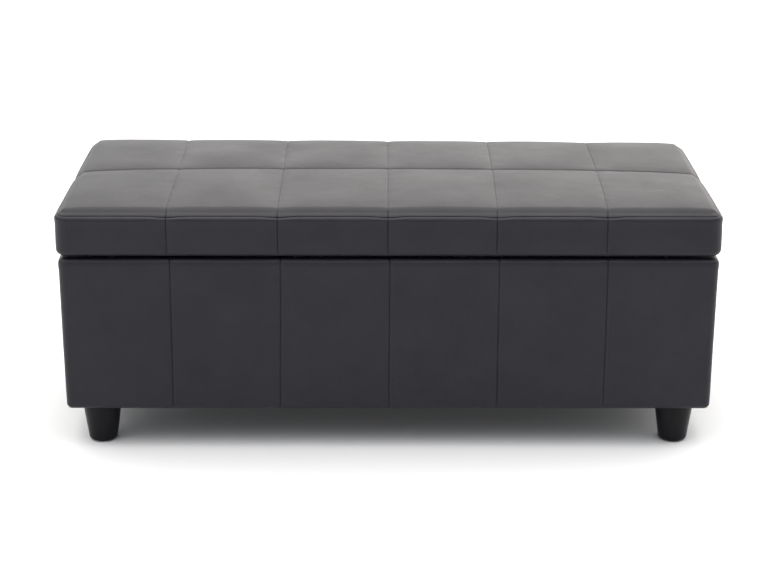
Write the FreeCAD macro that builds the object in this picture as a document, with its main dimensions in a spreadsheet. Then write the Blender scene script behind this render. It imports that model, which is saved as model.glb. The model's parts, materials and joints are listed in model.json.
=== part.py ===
import FreeCAD, Part
import math
import os
import Sketcher

# Storage bench: a padded lid on rear butt hinges over an upholstered box on four round feet.
# Millimetres. Origin at the middle of the footprint on the floor, +X along the bench to its
# right end, +Y to the back, +Z up. "left" is -X and "front" is -Y.

doc = FreeCAD.newDocument("storage_bench")
V = FreeCAD.Vector
PARTS_FOLDER = "parts"
SMALL_VOLUME = 1e-6

# ---------------------------------------------------------------------------------------------
# Driving dimensions

SIZES = {
    # overall
    "bench_length": 1222,
    "bench_depth": 518,
    "foot_height": 80,
    "base_height": 296,
    "lid_gap": 4,
    "lid_height": 92,
    "lid_overhang": 4,
    # outline radii
    "lid_corner_radius": 22,
    "lid_top_radius": 18,
    "lid_bottom_radius": 16,
    "base_corner_radius": 14,
    "base_rim_radius": 10,
    # upholstery
    "leather": 1.2,
    "wall_padding": 6,
    "lining": 1,
    "border_seam_drop": 14,
    "rim_turn_in": 30,
    "lid_return": 30,
    "mitre_reach": 60,
    # boards
    "wall_board": 12,
    "floor_board": 9,
    "lid_board": 15,
    "floor_clearance": 0.5,
    "rail_width": 30,
    "rail_height": 30,
    "centre_rail_width": 40,
    "corner_block_side": 90,
    # feet
    "foot_top_diameter": 75,
    "foot_bottom_diameter": 53,
    "foot_edge_radius": 5,
    "foot_end_inset": 64,
    "foot_side_inset": 58,
    "glide_diameter": 34,
    "glide_thickness": 2,
    "bolt_diameter": 8,
    "bolt_in_foot": 36,
    "tee_nut_barrel": 11,
    "tee_nut_flange": 22,
    "tee_nut_depth": 12,
    "tee_nut_sheet": 1.5,
    # screws
    "frame_screw_diameter": 5,
    "frame_screw_length": 50,
    "frame_screw_edge": 38,
    "small_screw_diameter": 3.5,
    "base_screw_length": 28,
    "lid_screw_length": 13,
    "wall_screw_length": 12,
    "hinge_screw_spacing": 27,
    "stay_screw_spacing": 32,
    # hinges
    "hinge_spacing": 430,
    "hinge_length": 76,
    "knuckle_diameter": 8,
    "knuckle_gap": 0.3,
    "leaf_thickness": 1.6,
    "base_leaf_width": 15,
    "lid_leaf_width": 28,
    "lid_screw_share": 0.7,
    "hinge_pin_diameter": 4,
    "pin_running_clearance": 0.1,
    # lid stays
    "stay_lid_angle": 5.3,
    "stay_base_angle": 35,
    "lid_opening_angle": 95,
    "stay_floor_clearance": 16,
    "stay_wall_gap": 0.8,
    "stay_arm_thickness": 2.5,
    "stay_arm_width": 18,
    "stay_side_gap": 0.6,
    "stay_pin_diameter": 6,
    "stay_slot_clearance": 0.3,
    "stay_slot_spare": 2,
    "bracket_sheet": 2,
    "bracket_length": 50,
    "bracket_foot": 24,
    "bracket_corner_radius": 6,
    "base_bracket_width": 40,
    "base_bracket_height": 58,
    "base_bracket_gap": 2,
    "base_bracket_screw_edge": 9,
    "base_bracket_screw_spread": 24,
    "rivet_diameter": 5,
    "rivet_head_diameter": 10,
    "rivet_head": 1.4,
    "pin_head_diameter": 12,
    # bumpers
    "bumper_diameter": 8,
    "bumper_clearance": 0.2,
    "bumper_spacing": 340,
}

# Places and sizes worked out from the driving ones; each may use the lines above it.
PLACES = {
    # levels
    "rim_level": "sizes.foot_height + sizes.base_height",
    "lid_level": "rim_level + sizes.lid_gap",
    "lid_top": "lid_level + sizes.lid_height",
    "seam_level": "lid_top - sizes.border_seam_drop",
    "carcass_low": "sizes.foot_height + sizes.leather",
    "carcass_top": "rim_level - sizes.leather - sizes.wall_padding",
    "turn_in_level": "rim_level - sizes.rim_turn_in",
    "floor_level": "carcass_low + sizes.rail_height",
    "floor_top": "floor_level + sizes.floor_board",
    "lid_board_low": "lid_level + sizes.leather",
    "lid_board_top": "lid_board_low + sizes.lid_board",
    # half lengths (X) and half depths (Y) of the nested outlines
    "lid_half_x": "sizes.bench_length / 2",
    "lid_half_y": "sizes.bench_depth / 2",
    "base_half_x": "lid_half_x - sizes.lid_overhang",
    "base_half_y": "lid_half_y - sizes.lid_overhang",
    "pad_half_x": "base_half_x - sizes.leather",
    "pad_half_y": "base_half_y - sizes.leather",
    "carcass_half_x": "pad_half_x - sizes.wall_padding",
    "carcass_half_y": "pad_half_y - sizes.wall_padding",
    "inner_half_x": "carcass_half_x - sizes.wall_board",
    "inner_half_y": "carcass_half_y - sizes.wall_board",
    "rim_half_x": "inner_half_x - sizes.leather",
    "rim_half_y": "inner_half_y - sizes.leather",
    "lined_half_x": "inner_half_x - sizes.lining",
    "lined_half_y": "inner_half_y - sizes.lining",
    "lid_board_half_x": "lid_half_x - sizes.lid_bottom_radius - sizes.leather",
    "lid_board_half_y": "lid_half_y - sizes.lid_bottom_radius - sizes.leather",
    "window_half_x": "lid_board_half_x - sizes.lid_return",
    "window_half_y": "lid_board_half_y - sizes.lid_return",
    # feet
    "foot_x": "base_half_x - sizes.foot_end_inset",
    "foot_y": "base_half_y - sizes.foot_side_inset",
    "bolt_low": "sizes.foot_height - sizes.bolt_in_foot",
    "bolt_top": "floor_level",
    # hinges: the axis lies on the base's back face, half way up the gap under the lid
    "hinge_y": "base_half_y",
    "hinge_z": "rim_level + sizes.lid_gap / 2",
    "knuckle_radius": "sizes.knuckle_diameter / 2",
    "leaf_edge": "hinge_y - knuckle_radius - 2 * sizes.knuckle_gap",
    "base_screw_y": "(inner_half_y + carcass_half_y) / 2",
    "lid_screw_y": "leaf_edge - sizes.lid_leaf_width * sizes.lid_screw_share",
    # lid stays: the lid pivot and the base pin are equally far from the hinge axis, so the arm
    # always turns by half of what the lid turns; that radius is as large as leaves the closed
    # arm's tip clear of the lined floor
    "lid_angle": "sizes.stay_lid_angle * 1deg",
    "pin_angle": "sizes.stay_base_angle * 1deg",
    "arm_angle": "(lid_angle + pin_angle) / 2",
    "open_turn": "pin_angle - lid_angle + sizes.lid_opening_angle * 1deg",
    "slot_radius": "sizes.stay_pin_diameter / 2 + sizes.stay_slot_clearance",
    "arm_end": "(slot_radius + sizes.stay_slot_clearance) * cos(arm_angle) + sizes.stay_arm_width / 2",
    "arm_room": "hinge_z - floor_top - sizes.lining - sizes.stay_floor_clearance - arm_end",
    "stay_radius": "arm_room / (sin(lid_angle) + 2 * sin(open_turn / 2) * cos(arm_angle))",
    "pivot_y": "hinge_y - stay_radius * cos(lid_angle)",
    "pivot_z": "hinge_z - stay_radius * sin(lid_angle)",
    "shoulder_y": "hinge_y - stay_radius * cos(pin_angle)",
    "shoulder_z": "hinge_z - stay_radius * sin(pin_angle)",
    "below_turn_in": "turn_in_level - sizes.base_bracket_gap",
    "wall_plate_top": "min(shoulder_z + sizes.base_bracket_height / 2; below_turn_in)",
    "wall_plate_low": "shoulder_z - sizes.base_bracket_height / 2",
    "slot_start": "2 * stay_radius * sin((pin_angle - lid_angle) / 2) - sizes.stay_slot_spare",
    "slot_end": "2 * stay_radius * sin(open_turn / 2) + sizes.stay_slot_clearance",
    "bracket_face": "lined_half_x - sizes.bracket_sheet",
    "arm_outer": "bracket_face - sizes.stay_wall_gap",
    "arm_inner": "arm_outer - sizes.stay_arm_thickness",
    "flange_outer": "arm_inner - sizes.stay_side_gap",
    "flange_inner": "flange_outer - sizes.bracket_sheet",
    "bracket_reach": "flange_outer - sizes.bracket_foot",
    "bracket_screw_x": "(flange_inner + bracket_reach) / 2",
    # bumpers stand over the middle of the front rim's flat top
    "bumper_y": "-(base_half_y - sizes.base_rim_radius + rim_half_y) / 2",
    "bumper_low": "rim_level + sizes.bumper_clearance",
}


def fill_sheet(name, cells):
    """A spreadsheet with one aliased row for each entry."""
    table = doc.addObject("Spreadsheet::Sheet", name)
    for row, (alias, content) in enumerate(cells.items(), start=1):
        table.set(f"A{row}", alias)
        table.set(f"B{row}", content)
        table.setAlias(f"B{row}", alias)
    return table


sizes = fill_sheet("sizes", {alias: str(number) for alias, number in SIZES.items()})
places = fill_sheet("places", {alias: "=" + formula for alias, formula in PLACES.items()})
doc.recompute()


# ---------------------------------------------------------------------------------------------
# Building helpers. Every size or place is an expression on the two sheets.

nodes = []


def node(piece):
    """Marks a piece of the bench that is written to a file of its own."""
    nodes.append(piece)
    return piece


def number(expression):
    """The present value of an expression on the sheets."""
    return float(sizes.evalExpression(expression))


def place(piece, x, y, z):
    for axis, expression in zip("xyz", (x, y, z)):
        piece.setExpression(f"Placement.Base.{axis}", expression)
    return piece


def box(name, x, y, z):
    """A box between a low and a high expression along each axis."""
    block = doc.addObject("Part::Box", name)
    for side, (low, high) in zip(("Length", "Width", "Height"), (x, y, z)):
        block.setExpression(side, f"({high}) - ({low})")
    return place(block, x[0], y[0], z[0])


def centred_box(name, half_x, half_y, z):
    return box(name, (f"-({half_x})", half_x), (f"-({half_y})", half_y), z)


TURNS = {
    "+Z": FreeCAD.Rotation(),
    "-Z": FreeCAD.Rotation(V(1, 0, 0), 180),
    "+X": FreeCAD.Rotation(V(0, 1, 0), 90),
    "-X": FreeCAD.Rotation(V(0, 1, 0), -90),
    "+Y": FreeCAD.Rotation(V(1, 0, 0), -90),
    "-Y": FreeCAD.Rotation(V(1, 0, 0), 90),
}


def cylinder(name, start, direction, radius, length):
    rod = doc.addObject("Part::Cylinder", name)
    rod.Placement = FreeCAD.Placement(V(), TURNS[direction])
    rod.setExpression("Radius", radius)
    rod.setExpression("Height", length)
    return place(rod, *start)


def cone(name, start, direction, start_radius, end_radius, length):
    taper = doc.addObject("Part::Cone", name)
    taper.Placement = FreeCAD.Placement(V(), TURNS[direction])
    taper.setExpression("Radius1", start_radius)
    taper.setExpression("Radius2", end_radius)
    taper.setExpression("Height", length)
    return place(taper, *start)


def fuse(name, pieces):
    whole = doc.addObject("Part::MultiFuse", name)
    whole.Shapes = pieces
    return whole


def group(name, pieces):
    """Identical pieces that share a node and stay separate solids."""
    several = doc.addObject("Part::Compound", name)
    several.Links = pieces
    return several


def cut(name, piece, *tools):
    """A piece with one or more tools taken away; each tool may be used again elsewhere."""
    for count, tool in enumerate(tools, start=1):
        step_name = name if count == len(tools) else f"{name}_cut_{count}"
        step = doc.addObject("Part::Cut", step_name)
        step.Base = piece
        step.Tool = tool
        piece = step
    return piece


def common(name, piece, region):
    kept = doc.addObject("Part::Common", name)
    kept.Base = piece
    kept.Tool = region
    return kept


def countersunk_screw(name, start, direction, diameter, length):
    """A screw whose flat head starts at the given point and whose tip points along direction."""
    head = cone(f"{name}_head", start, direction, diameter, f"({diameter}) / 2", f"({diameter}) / 2")
    shank = cylinder(f"{name}_shank", start, direction, f"({diameter}) / 2", length)
    return fuse(name, [head, shank])


def origin_plane(body, role):
    return next(plane for plane in body.Origin.OriginFeatures if plane.Role == role)


def new_sketch(body, name, role):
    sketch = body.newObject("Sketcher::SketchObject", name)
    sketch.AttachmentSupport = [(origin_plane(body, role), "")]
    sketch.MapMode = "FlatFace"
    return sketch


def hold_point(sketch, line, end, x, y):
    """Fixes one end of a sketch line at two expressions."""
    for kind, expression in (("DistanceX", x), ("DistanceY", y)):
        index = sketch.addConstraint(Sketcher.Constraint(kind, -1, 1, line, end, number(expression)))
        sketch.setExpression(f"Constraints[{index}]", expression)


def polygon_sketch(body, name, role, corners):
    """A closed outline through corners given as pairs of expressions."""
    sketch = new_sketch(body, name, role)
    points = [V(number(x), number(y), 0) for x, y in corners]
    count = len(points)
    for index, start in enumerate(points):
        sketch.addGeometry(Part.LineSegment(start, points[(index + 1) % count]), False)
    for index in range(count):
        sketch.addConstraint(Sketcher.Constraint("Coincident", index, 2, (index + 1) % count, 1))
    for index, (x, y) in enumerate(corners):
        hold_point(sketch, index, 1, x, y)
    return sketch


def bar_sketch(body, name, role, top, bottom, radius):
    """A round-ended bar along the sketch's vertical axis, between the two end centres."""
    sketch = new_sketch(body, name, role)
    high, low, half = number(top), number(bottom), number(radius)
    turn = math.pi
    sketch.addGeometry(Part.ArcOfCircle(Part.Circle(V(0, high, 0), V(0, 0, 1), half), 0, turn), False)
    sketch.addGeometry(Part.LineSegment(V(-half, high, 0), V(-half, low, 0)), False)
    sketch.addGeometry(Part.ArcOfCircle(Part.Circle(V(0, low, 0), V(0, 0, 1), half), turn, 2 * turn), False)
    sketch.addGeometry(Part.LineSegment(V(half, low, 0), V(half, high, 0)), False)
    for index in range(4):
        sketch.addConstraint(Sketcher.Constraint("Tangent", index, 2, (index + 1) % 4, 1))
    for arc, level in ((0, top), (2, bottom)):
        sketch.addConstraint(Sketcher.Constraint("PointOnObject", arc, 3, -2))
        index = sketch.addConstraint(Sketcher.Constraint("DistanceY", -1, 1, arc, 3, number(level)))
        sketch.setExpression(f"Constraints[{index}]", level)
        index = sketch.addConstraint(Sketcher.Constraint("Radius", arc, half))
        sketch.setExpression(f"Constraints[{index}]", radius)
    return sketch


def pad(body, name, sketch, length, midplane=False):
    raised = body.newObject("PartDesign::Pad", name)
    raised.Profile = sketch
    raised.Midplane = midplane
    raised.setExpression("Length", length)
    doc.recompute()
    return raised


def pocket(body, name, sketch):
    """Cuts a sketch right through the body, both ways."""
    before = body.Shape.Volume
    hollow = body.newObject("PartDesign::Pocket", name)
    hollow.Profile = sketch
    hollow.Type = "ThroughAll"
    hollow.Midplane = True
    doc.recompute()
    assert body.Shape.Volume < before - SMALL_VOLUME, f"{name} cuts nothing"
    return hollow


def round_edges(body, name, feature, chosen, radius):
    """Fillets the edges of a feature for which chosen(edge) is true."""
    edges = feature.Shape.Edges
    picked = [f"Edge{index}" for index, edge in enumerate(edges, start=1) if chosen(edge)]
    fillet = body.newObject("PartDesign::Fillet", name)
    fillet.Base = (feature, picked)
    fillet.setExpression("Radius", radius)
    doc.recompute()
    return fillet


def runs_along(axis):
    """Picks straight edges parallel to an axis."""
    def chosen(edge):
        straight = edge.Curve.TypeId == "Part::GeomLine"
        return straight and abs(edge.tangentAt(edge.FirstParameter).dot(axis)) > 0.999
    return chosen


def lies_at(level):
    """Picks edges that lie in the horizontal plane at a height."""
    def chosen(edge):
        return abs(edge.BoundBox.ZMin - level) < 1e-6 and abs(edge.BoundBox.ZMax - level) < 1e-6
    return chosen


def padded_block(name, half_x, half_y, low, high, corner_radius, top_radius, bottom_radius=None):
    """A rectangular block with rounded upright corners and rounded top and bottom edges."""
    body = doc.addObject("PartDesign::Body", name)
    outline = polygon_sketch(body, f"{name}_outline", "XY_Plane", [
        (f"-({half_x})", f"-({half_y})"),
        (half_x, f"-({half_y})"),
        (half_x, half_y),
        (f"-({half_x})", half_y),
    ])
    height = f"({high}) - ({low})"
    raised = pad(body, f"{name}_pad", outline, height)
    last = round_edges(body, f"{name}_corners", raised, runs_along(V(0, 0, 1)), corner_radius)
    last = round_edges(body, f"{name}_top", last, lies_at(number(height)), top_radius)
    if bottom_radius:
        round_edges(body, f"{name}_bottom", last, lies_at(0), bottom_radius)
    body.setExpression("Placement.Base.z", low)
    return body


# ---------------------------------------------------------------------------------------------
# Screws and bolts come first: the pieces they pass through are cut with them.

def base_hardware_screws():
    """Hinge screws down into the back panel, and stay bracket screws out into the end panels."""
    screws = []
    for name, x in HINGES.items():
        for side in (-1, 1):
            start = (f"({x}) + {side} * sizes.hinge_screw_spacing", "places.base_screw_y",
                     "places.rim_level + sizes.leaf_thickness")
            screws.append(countersunk_screw(f"hinge_{name}_base_screw_{side + 2}", start, "-Z",
                                            "sizes.small_screw_diameter", "sizes.base_screw_length"))
    for name, side in SIDES.items():
        for index, (along, level) in enumerate(WALL_PLATE_SCREWS, start=1):
            start = (f"{side} * places.bracket_face",
                     f"places.shoulder_y + {along} * sizes.base_bracket_screw_spread / 2", level)
            direction = "+X" if side > 0 else "-X"
            screws.append(countersunk_screw(f"stay_base_screw_{name}_{index}", start, direction,
                                            "sizes.small_screw_diameter", "sizes.wall_screw_length"))
    return group("base_hardware_screws", screws)


def lid_hardware_screws():
    """Hinge and stay bracket screws up into the lid board."""
    screws = []
    for name, x in HINGES.items():
        for side in (-1, 1):
            start = (f"({x}) + {side} * sizes.hinge_screw_spacing", "places.lid_screw_y",
                     "places.lid_level - sizes.leaf_thickness")
            screws.append(countersunk_screw(f"hinge_{name}_lid_screw_{side + 2}", start, "+Z",
                                            "sizes.small_screw_diameter", "sizes.lid_screw_length"))
    for name, side in SIDES.items():
        for end in (-1, 1):
            start = (f"{side} * places.bracket_screw_x",
                     f"places.pivot_y + {end} * sizes.stay_screw_spacing / 2",
                     "places.lid_level - sizes.bracket_sheet")
            screws.append(countersunk_screw(f"stay_lid_screw_{name}_{end + 2}", start, "+Z",
                                            "sizes.small_screw_diameter", "sizes.lid_screw_length"))
    return group("lid_hardware_screws", screws)


def frame_screws():
    """Long screws through the front and back panels into the edges of the end panels."""
    screws = []
    middle = "(places.inner_half_x + places.carcass_half_x) / 2"
    levels = (
        "places.carcass_low + sizes.frame_screw_edge",
        "(places.carcass_low + places.carcass_top) / 2",
        "places.carcass_top - sizes.frame_screw_edge",
    )
    for end in (-1, 1):
        for face, direction in ((-1, "+Y"), (1, "-Y")):
            for index, level in enumerate(levels, start=1):
                start = (f"{end} * {middle}", f"{face} * places.carcass_half_y", level)
                name = f"frame_screw_{end + 2}_{face + 2}_{index}"
                screws.append(countersunk_screw(name, start, direction,
                                                "sizes.frame_screw_diameter", "sizes.frame_screw_length"))
    return group("frame_screws", screws)


def foot_fixings():
    """Hanger bolts standing in the feet, and the tee nuts in the corner blocks they screw into."""
    bolts = []
    nuts = []
    for name, (x, y) in CORNERS.items():
        bolts.append(cylinder(f"bolt_{name}", (x, y, "places.bolt_low"), "+Z",
                              "sizes.bolt_diameter / 2", "places.bolt_top - places.bolt_low"))
        barrel = cylinder(f"tee_nut_barrel_{name}", (x, y, "places.floor_level"), "-Z",
                          "sizes.tee_nut_barrel / 2", "sizes.tee_nut_depth")
        flange = cylinder(f"tee_nut_flange_{name}", (x, y, "places.floor_level"), "-Z",
                          "sizes.tee_nut_flange / 2", "sizes.tee_nut_sheet")
        thread = cylinder(f"tee_nut_thread_{name}", (x, y, "places.floor_level"), "-Z",
                          "sizes.bolt_diameter / 2", "sizes.tee_nut_depth")
        blank = fuse(f"tee_nut_blank_{name}", [barrel, flange])
        nuts.append(cut(f"tee_nut_{name}", blank, thread))
    return group("foot_bolts", bolts), group("foot_tee_nuts", nuts)


HINGES = {
    "left": "-sizes.hinge_spacing",
    "centre": "0",
    "right": "sizes.hinge_spacing",
}
SIDES = {"left": -1, "right": 1}
CORNERS = {
    f"{depth_name}_{end_name}": (f"{end} * places.foot_x", f"{depth} * places.foot_y")
    for depth_name, depth in (("front", -1), ("back", 1))
    for end_name, end in SIDES.items()
}
# wall plate screws: one below the shoulder pin and one to either side above it
UPPER_SCREWS = "places.wall_plate_top - sizes.base_bracket_screw_edge"
LOWER_SCREW = "places.wall_plate_low + sizes.base_bracket_screw_edge"
WALL_PLATE_SCREWS = ((0, LOWER_SCREW), (-1, UPPER_SCREWS), (1, UPPER_SCREWS))

base_screws = node(base_hardware_screws())
lid_screws = node(lid_hardware_screws())
panel_screws = node(frame_screws())
foot_bolts, tee_nuts = foot_fixings()
node(foot_bolts)
node(tee_nuts)


# ---------------------------------------------------------------------------------------------
# Base carcass

CARCASS_Z = ("places.carcass_low", "places.carcass_top")
RAIL_Z = ("places.carcass_low", "places.floor_level")


def wall_panels():
    for name, side in (("front", -1), ("back", 1)):
        faces = ("places.inner_half_y", "places.carcass_half_y")
        y = (f"-{faces[1]}", f"-{faces[0]}") if side < 0 else faces
        board = box(f"{name}_board", ("-places.carcass_half_x", "places.carcass_half_x"), y, CARCASS_Z)
        tools = (panel_screws, base_screws) if side > 0 else (panel_screws,)
        node(cut(f"{name}_panel", board, *tools))
    for name, side in SIDES.items():
        faces = ("places.inner_half_x", "places.carcass_half_x")
        x = (f"-{faces[1]}", f"-{faces[0]}") if side < 0 else faces
        board = box(f"{name}_end_board", x, ("-places.inner_half_y", "places.inner_half_y"), CARCASS_Z)
        node(cut(f"{name}_end_panel", board, panel_screws, base_screws))


def corner_blocks():
    """Square blocks under the floor in each corner, which carry the feet."""
    side = "sizes.corner_block_side"
    for name, (x, y) in CORNERS.items():
        x_ends = (f"places.inner_half_x - {side}", "places.inner_half_x")
        y_ends = (f"places.inner_half_y - {side}", "places.inner_half_y")
        if "left" in name:
            x_ends = (f"-({x_ends[1]})", f"-({x_ends[0]})")
        if "front" in name:
            y_ends = (f"-({y_ends[1]})", f"-({y_ends[0]})")
        block = box(f"corner_block_blank_{name}", x_ends, y_ends, RAIL_Z)
        node(cut(f"corner_block_{name}", block, foot_bolts, tee_nuts))


def floor_frame():
    width = "sizes.rail_width"
    long_half = "places.inner_half_x - sizes.corner_block_side"
    short_half = "places.inner_half_y - sizes.corner_block_side"
    long_way = (f"-({long_half})", long_half)
    short_way = (f"-({short_half})", short_half)
    inner_y = f"places.inner_half_y - {width}"
    inner_x = f"places.inner_half_x - {width}"
    centre = ("-sizes.centre_rail_width / 2", "sizes.centre_rail_width / 2")
    node(box("front_floor_rail", long_way, ("-places.inner_half_y", f"-({inner_y})"), RAIL_Z))
    node(box("back_floor_rail", long_way, (inner_y, "places.inner_half_y"), RAIL_Z))
    node(box("left_floor_rail", ("-places.inner_half_x", f"-({inner_x})"), short_way, RAIL_Z))
    node(box("right_floor_rail", (inner_x, "places.inner_half_x"), short_way, RAIL_Z))
    node(box("centre_floor_rail", centre, (f"-({inner_y})", inner_y), RAIL_Z))
    node(centred_box("floor_panel", "places.inner_half_x - sizes.floor_clearance",
                     "places.inner_half_y - sizes.floor_clearance",
                     ("places.floor_level", "places.floor_top")))


def feet():
    """Tapered round feet with a rounded lower edge, each on a plastic glide."""
    glides = []
    for name, (x, y) in CORNERS.items():
        low_radius = "sizes.foot_bottom_diameter / 2"
        body = doc.addObject("PartDesign::Body", f"foot_blank_{name}")
        profile = polygon_sketch(body, f"foot_profile_{name}", "XZ_Plane", [
            ("0", "0"),
            (low_radius, "0"),
            ("sizes.foot_top_diameter / 2", "sizes.foot_height - sizes.glide_thickness"),
            ("0", "sizes.foot_height - sizes.glide_thickness"),
        ])
        turned = body.newObject("PartDesign::Revolution", f"foot_turning_{name}")
        turned.Profile = profile
        turned.ReferenceAxis = (profile, ["V_Axis"])
        turned.Angle = 360
        doc.recompute()
        round_edges(body, f"foot_edge_{name}", turned, lies_at(0), "sizes.foot_edge_radius")
        place(body, x, y, "sizes.glide_thickness")
        node(cut(f"foot_{name}", body, foot_bolts))
        glides.append(cylinder(f"glide_{name}", (x, y, "0"), "+Z", "sizes.glide_diameter / 2",
                               "sizes.glide_thickness"))
    node(group("foot_glides", glides))


wall_panels()
corner_blocks()
floor_frame()
feet()


# ---------------------------------------------------------------------------------------------
# Base upholstery: padding over the panels, leather over the padding and turned in over the rim

def mitre_regions():
    """The four sides of the sleeve, which meet at 45 degrees in the corners."""
    regions = {}
    for name, half_wide, reach, angle in (
        ("front", "places.base_half_x", "places.base_half_y", 0),
        ("right_end", "places.base_half_y", "places.base_half_x", 90),
        ("back", "places.base_half_x", "places.base_half_y", 180),
        ("left_end", "places.base_half_y", "places.base_half_x", 270),
    ):
        wedge = doc.addObject("Part::Wedge", f"{name}_region")
        inner = f"{half_wide} - sizes.mitre_reach"
        limits = {
            "Xmin": f"-{half_wide}",
            "Xmax": half_wide,
            "X2min": f"-({inner})",
            "X2max": inner,
            "Ymin": f"-{reach}",
            "Ymax": f"-({reach} - sizes.mitre_reach)",
            "Zmin": "0",
            "Zmax": "places.lid_top",
            "Z2min": "0",
            "Z2max": "places.lid_top",
        }
        for side, expression in limits.items():
            wedge.setExpression(side, expression)
        wedge.Placement = FreeCAD.Placement(V(), FreeCAD.Rotation(V(0, 0, 1), angle))
        regions[name] = wedge
    return regions


def base_upholstery():
    outside = padded_block("sleeve_outside", "places.base_half_x", "places.base_half_y",
                           "sizes.foot_height", "places.rim_level",
                           "sizes.base_corner_radius", "sizes.base_rim_radius")
    inside = padded_block("sleeve_inside", "places.pad_half_x", "places.pad_half_y",
                          "places.carcass_low", "places.rim_level - sizes.leather",
                          "sizes.base_corner_radius - sizes.leather",
                          "sizes.base_rim_radius - sizes.leather")
    mouth = centred_box("sleeve_mouth", "places.rim_half_x", "places.rim_half_y",
                        ("0", "places.lid_top"))
    hollow = centred_box("carcass_hollow", "places.inner_half_x", "places.inner_half_y",
                         ("0", "places.lid_top"))
    boards = centred_box("carcass_outline", "places.carcass_half_x", "places.carcass_half_y", CARCASS_Z)
    below_turn_in = centred_box("below_turn_in", "places.inner_half_x", "places.inner_half_y",
                                ("places.carcass_low", "places.turn_in_level"))
    core = cut("sleeve_core", inside, hollow)
    skin = cut("sleeve_skin", outside, mouth, core, below_turn_in)
    filling = cut("sleeve_filling", inside, hollow, boards)
    for name, region in mitre_regions().items():
        for layer, whole in (("cover", skin), ("padding", filling)):
            if name == "back":
                blank = common(f"{name}_{layer}_blank", whole, region)
                node(cut(f"{name}_{layer}", blank, base_screws))
            else:
                node(common(f"{name}_{layer}", whole, region))


def linings():
    walls = centred_box("wall_lining_outside", "places.inner_half_x", "places.inner_half_y",
                        ("places.floor_top", "places.turn_in_level"))
    room = centred_box("wall_lining_inside", "places.lined_half_x", "places.lined_half_y",
                       ("0", "places.lid_top"))
    node(cut("wall_lining", walls, room, base_screws))
    node(centred_box("floor_lining", "places.lined_half_x", "places.lined_half_y",
                     ("places.floor_top", "places.floor_top + sizes.lining")))
    sheet = centred_box("dust_cover_sheet", "places.rim_half_x", "places.rim_half_y",
                        ("sizes.foot_height", "places.carcass_low"))
    node(cut("dust_cover", sheet, foot_bolts))


base_upholstery()
linings()


# ---------------------------------------------------------------------------------------------
# Lid

def lid():
    outside = padded_block("lid_outside", "places.lid_half_x", "places.lid_half_y",
                           "places.lid_level", "places.lid_top", "sizes.lid_corner_radius",
                           "sizes.lid_top_radius", "sizes.lid_bottom_radius")
    inside = padded_block("lid_inside", "places.lid_half_x - sizes.leather",
                          "places.lid_half_y - sizes.leather",
                          "places.lid_board_low", "places.lid_top - sizes.leather",
                          "sizes.lid_corner_radius - sizes.leather",
                          "sizes.lid_top_radius - sizes.leather",
                          "sizes.lid_bottom_radius - sizes.leather")
    whole = ("places.lid_half_x", "places.lid_half_y")
    above_seam = centred_box("above_seam", *whole, ("places.seam_level", "places.lid_top"))
    below_seam = centred_box("below_seam", *whole, ("places.lid_level", "places.seam_level"))
    above_board = centred_box("above_board", *whole, ("places.lid_board_top", "places.lid_top"))
    below_foam = centred_box("below_foam", *whole, ("places.lid_level", "places.lid_board_top"))
    window = centred_box("lid_window", "places.window_half_x", "places.window_half_y",
                         ("places.lid_level", "places.lid_board_low"))
    board = centred_box("lid_board_blank", "places.lid_board_half_x", "places.lid_board_half_y",
                        ("places.lid_board_low", "places.lid_board_top"))
    skin = cut("lid_skin", outside, inside, window)
    node(common("lid_top_cover", skin, above_seam))
    border = common("lid_border_blank", skin, below_seam)
    node(cut("lid_border_cover", border, lid_screws))
    node(common("lid_foam", inside, above_board))
    node(cut("lid_edge_wadding", common("lid_wadding_blank", inside, below_foam), board))
    node(cut("lid_board", board, lid_screws))
    lining = centred_box("lid_lining_blank", "places.window_half_x", "places.window_half_y",
                         ("places.lid_level", "places.lid_board_low"))
    node(cut("lid_underside_lining", lining, lid_screws))


def bumpers():
    """Rubber buttons under the lid that meet the front rim."""
    buttons = []
    for index, step in enumerate((-1.5, -0.5, 0.5, 1.5), start=1):
        start = (f"{step} * sizes.bumper_spacing", "places.bumper_y", "places.bumper_low")
        buttons.append(cylinder(f"bumper_{index}", start, "+Z", "sizes.bumper_diameter / 2",
                                "places.lid_level - places.bumper_low"))
    node(group("lid_bumpers", buttons))


lid()
bumpers()


# ---------------------------------------------------------------------------------------------
# Hinges: three butt hinges, whose five knuckles belong to the base leaf and the lid leaf in turn

KNUCKLES = 5


def hinge_leaf(name, middle, width, levels, own_knuckles, bore, screws):
    start = f"({middle}) - sizes.hinge_length / 2"
    pitch = f"sizes.hinge_length / {KNUCKLES}"
    pieces = [box(f"{name}_plate", (start, f"({middle}) + sizes.hinge_length / 2"),
                  (f"places.leaf_edge - {width}", "places.leaf_edge"), levels)]
    for index in own_knuckles:
        low = f"{start} + {index} * {pitch} + sizes.knuckle_gap / 2"
        high = f"{start} + {index + 1} * {pitch} - sizes.knuckle_gap / 2"
        pieces.append(box(f"{name}_tab_{index}", (low, high), ("places.leaf_edge", "places.hinge_y"),
                          levels))
        pieces.append(cylinder(f"{name}_knuckle_{index}", (low, "places.hinge_y", "places.hinge_z"),
                               "+X", "places.knuckle_radius", f"{pitch} - sizes.knuckle_gap"))
    hole = cylinder(f"{name}_bore", (start, "places.hinge_y", "places.hinge_z"), "+X", bore,
                    "sizes.hinge_length")
    node(cut(name, fuse(f"{name}_blank", pieces), hole, screws))


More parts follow.
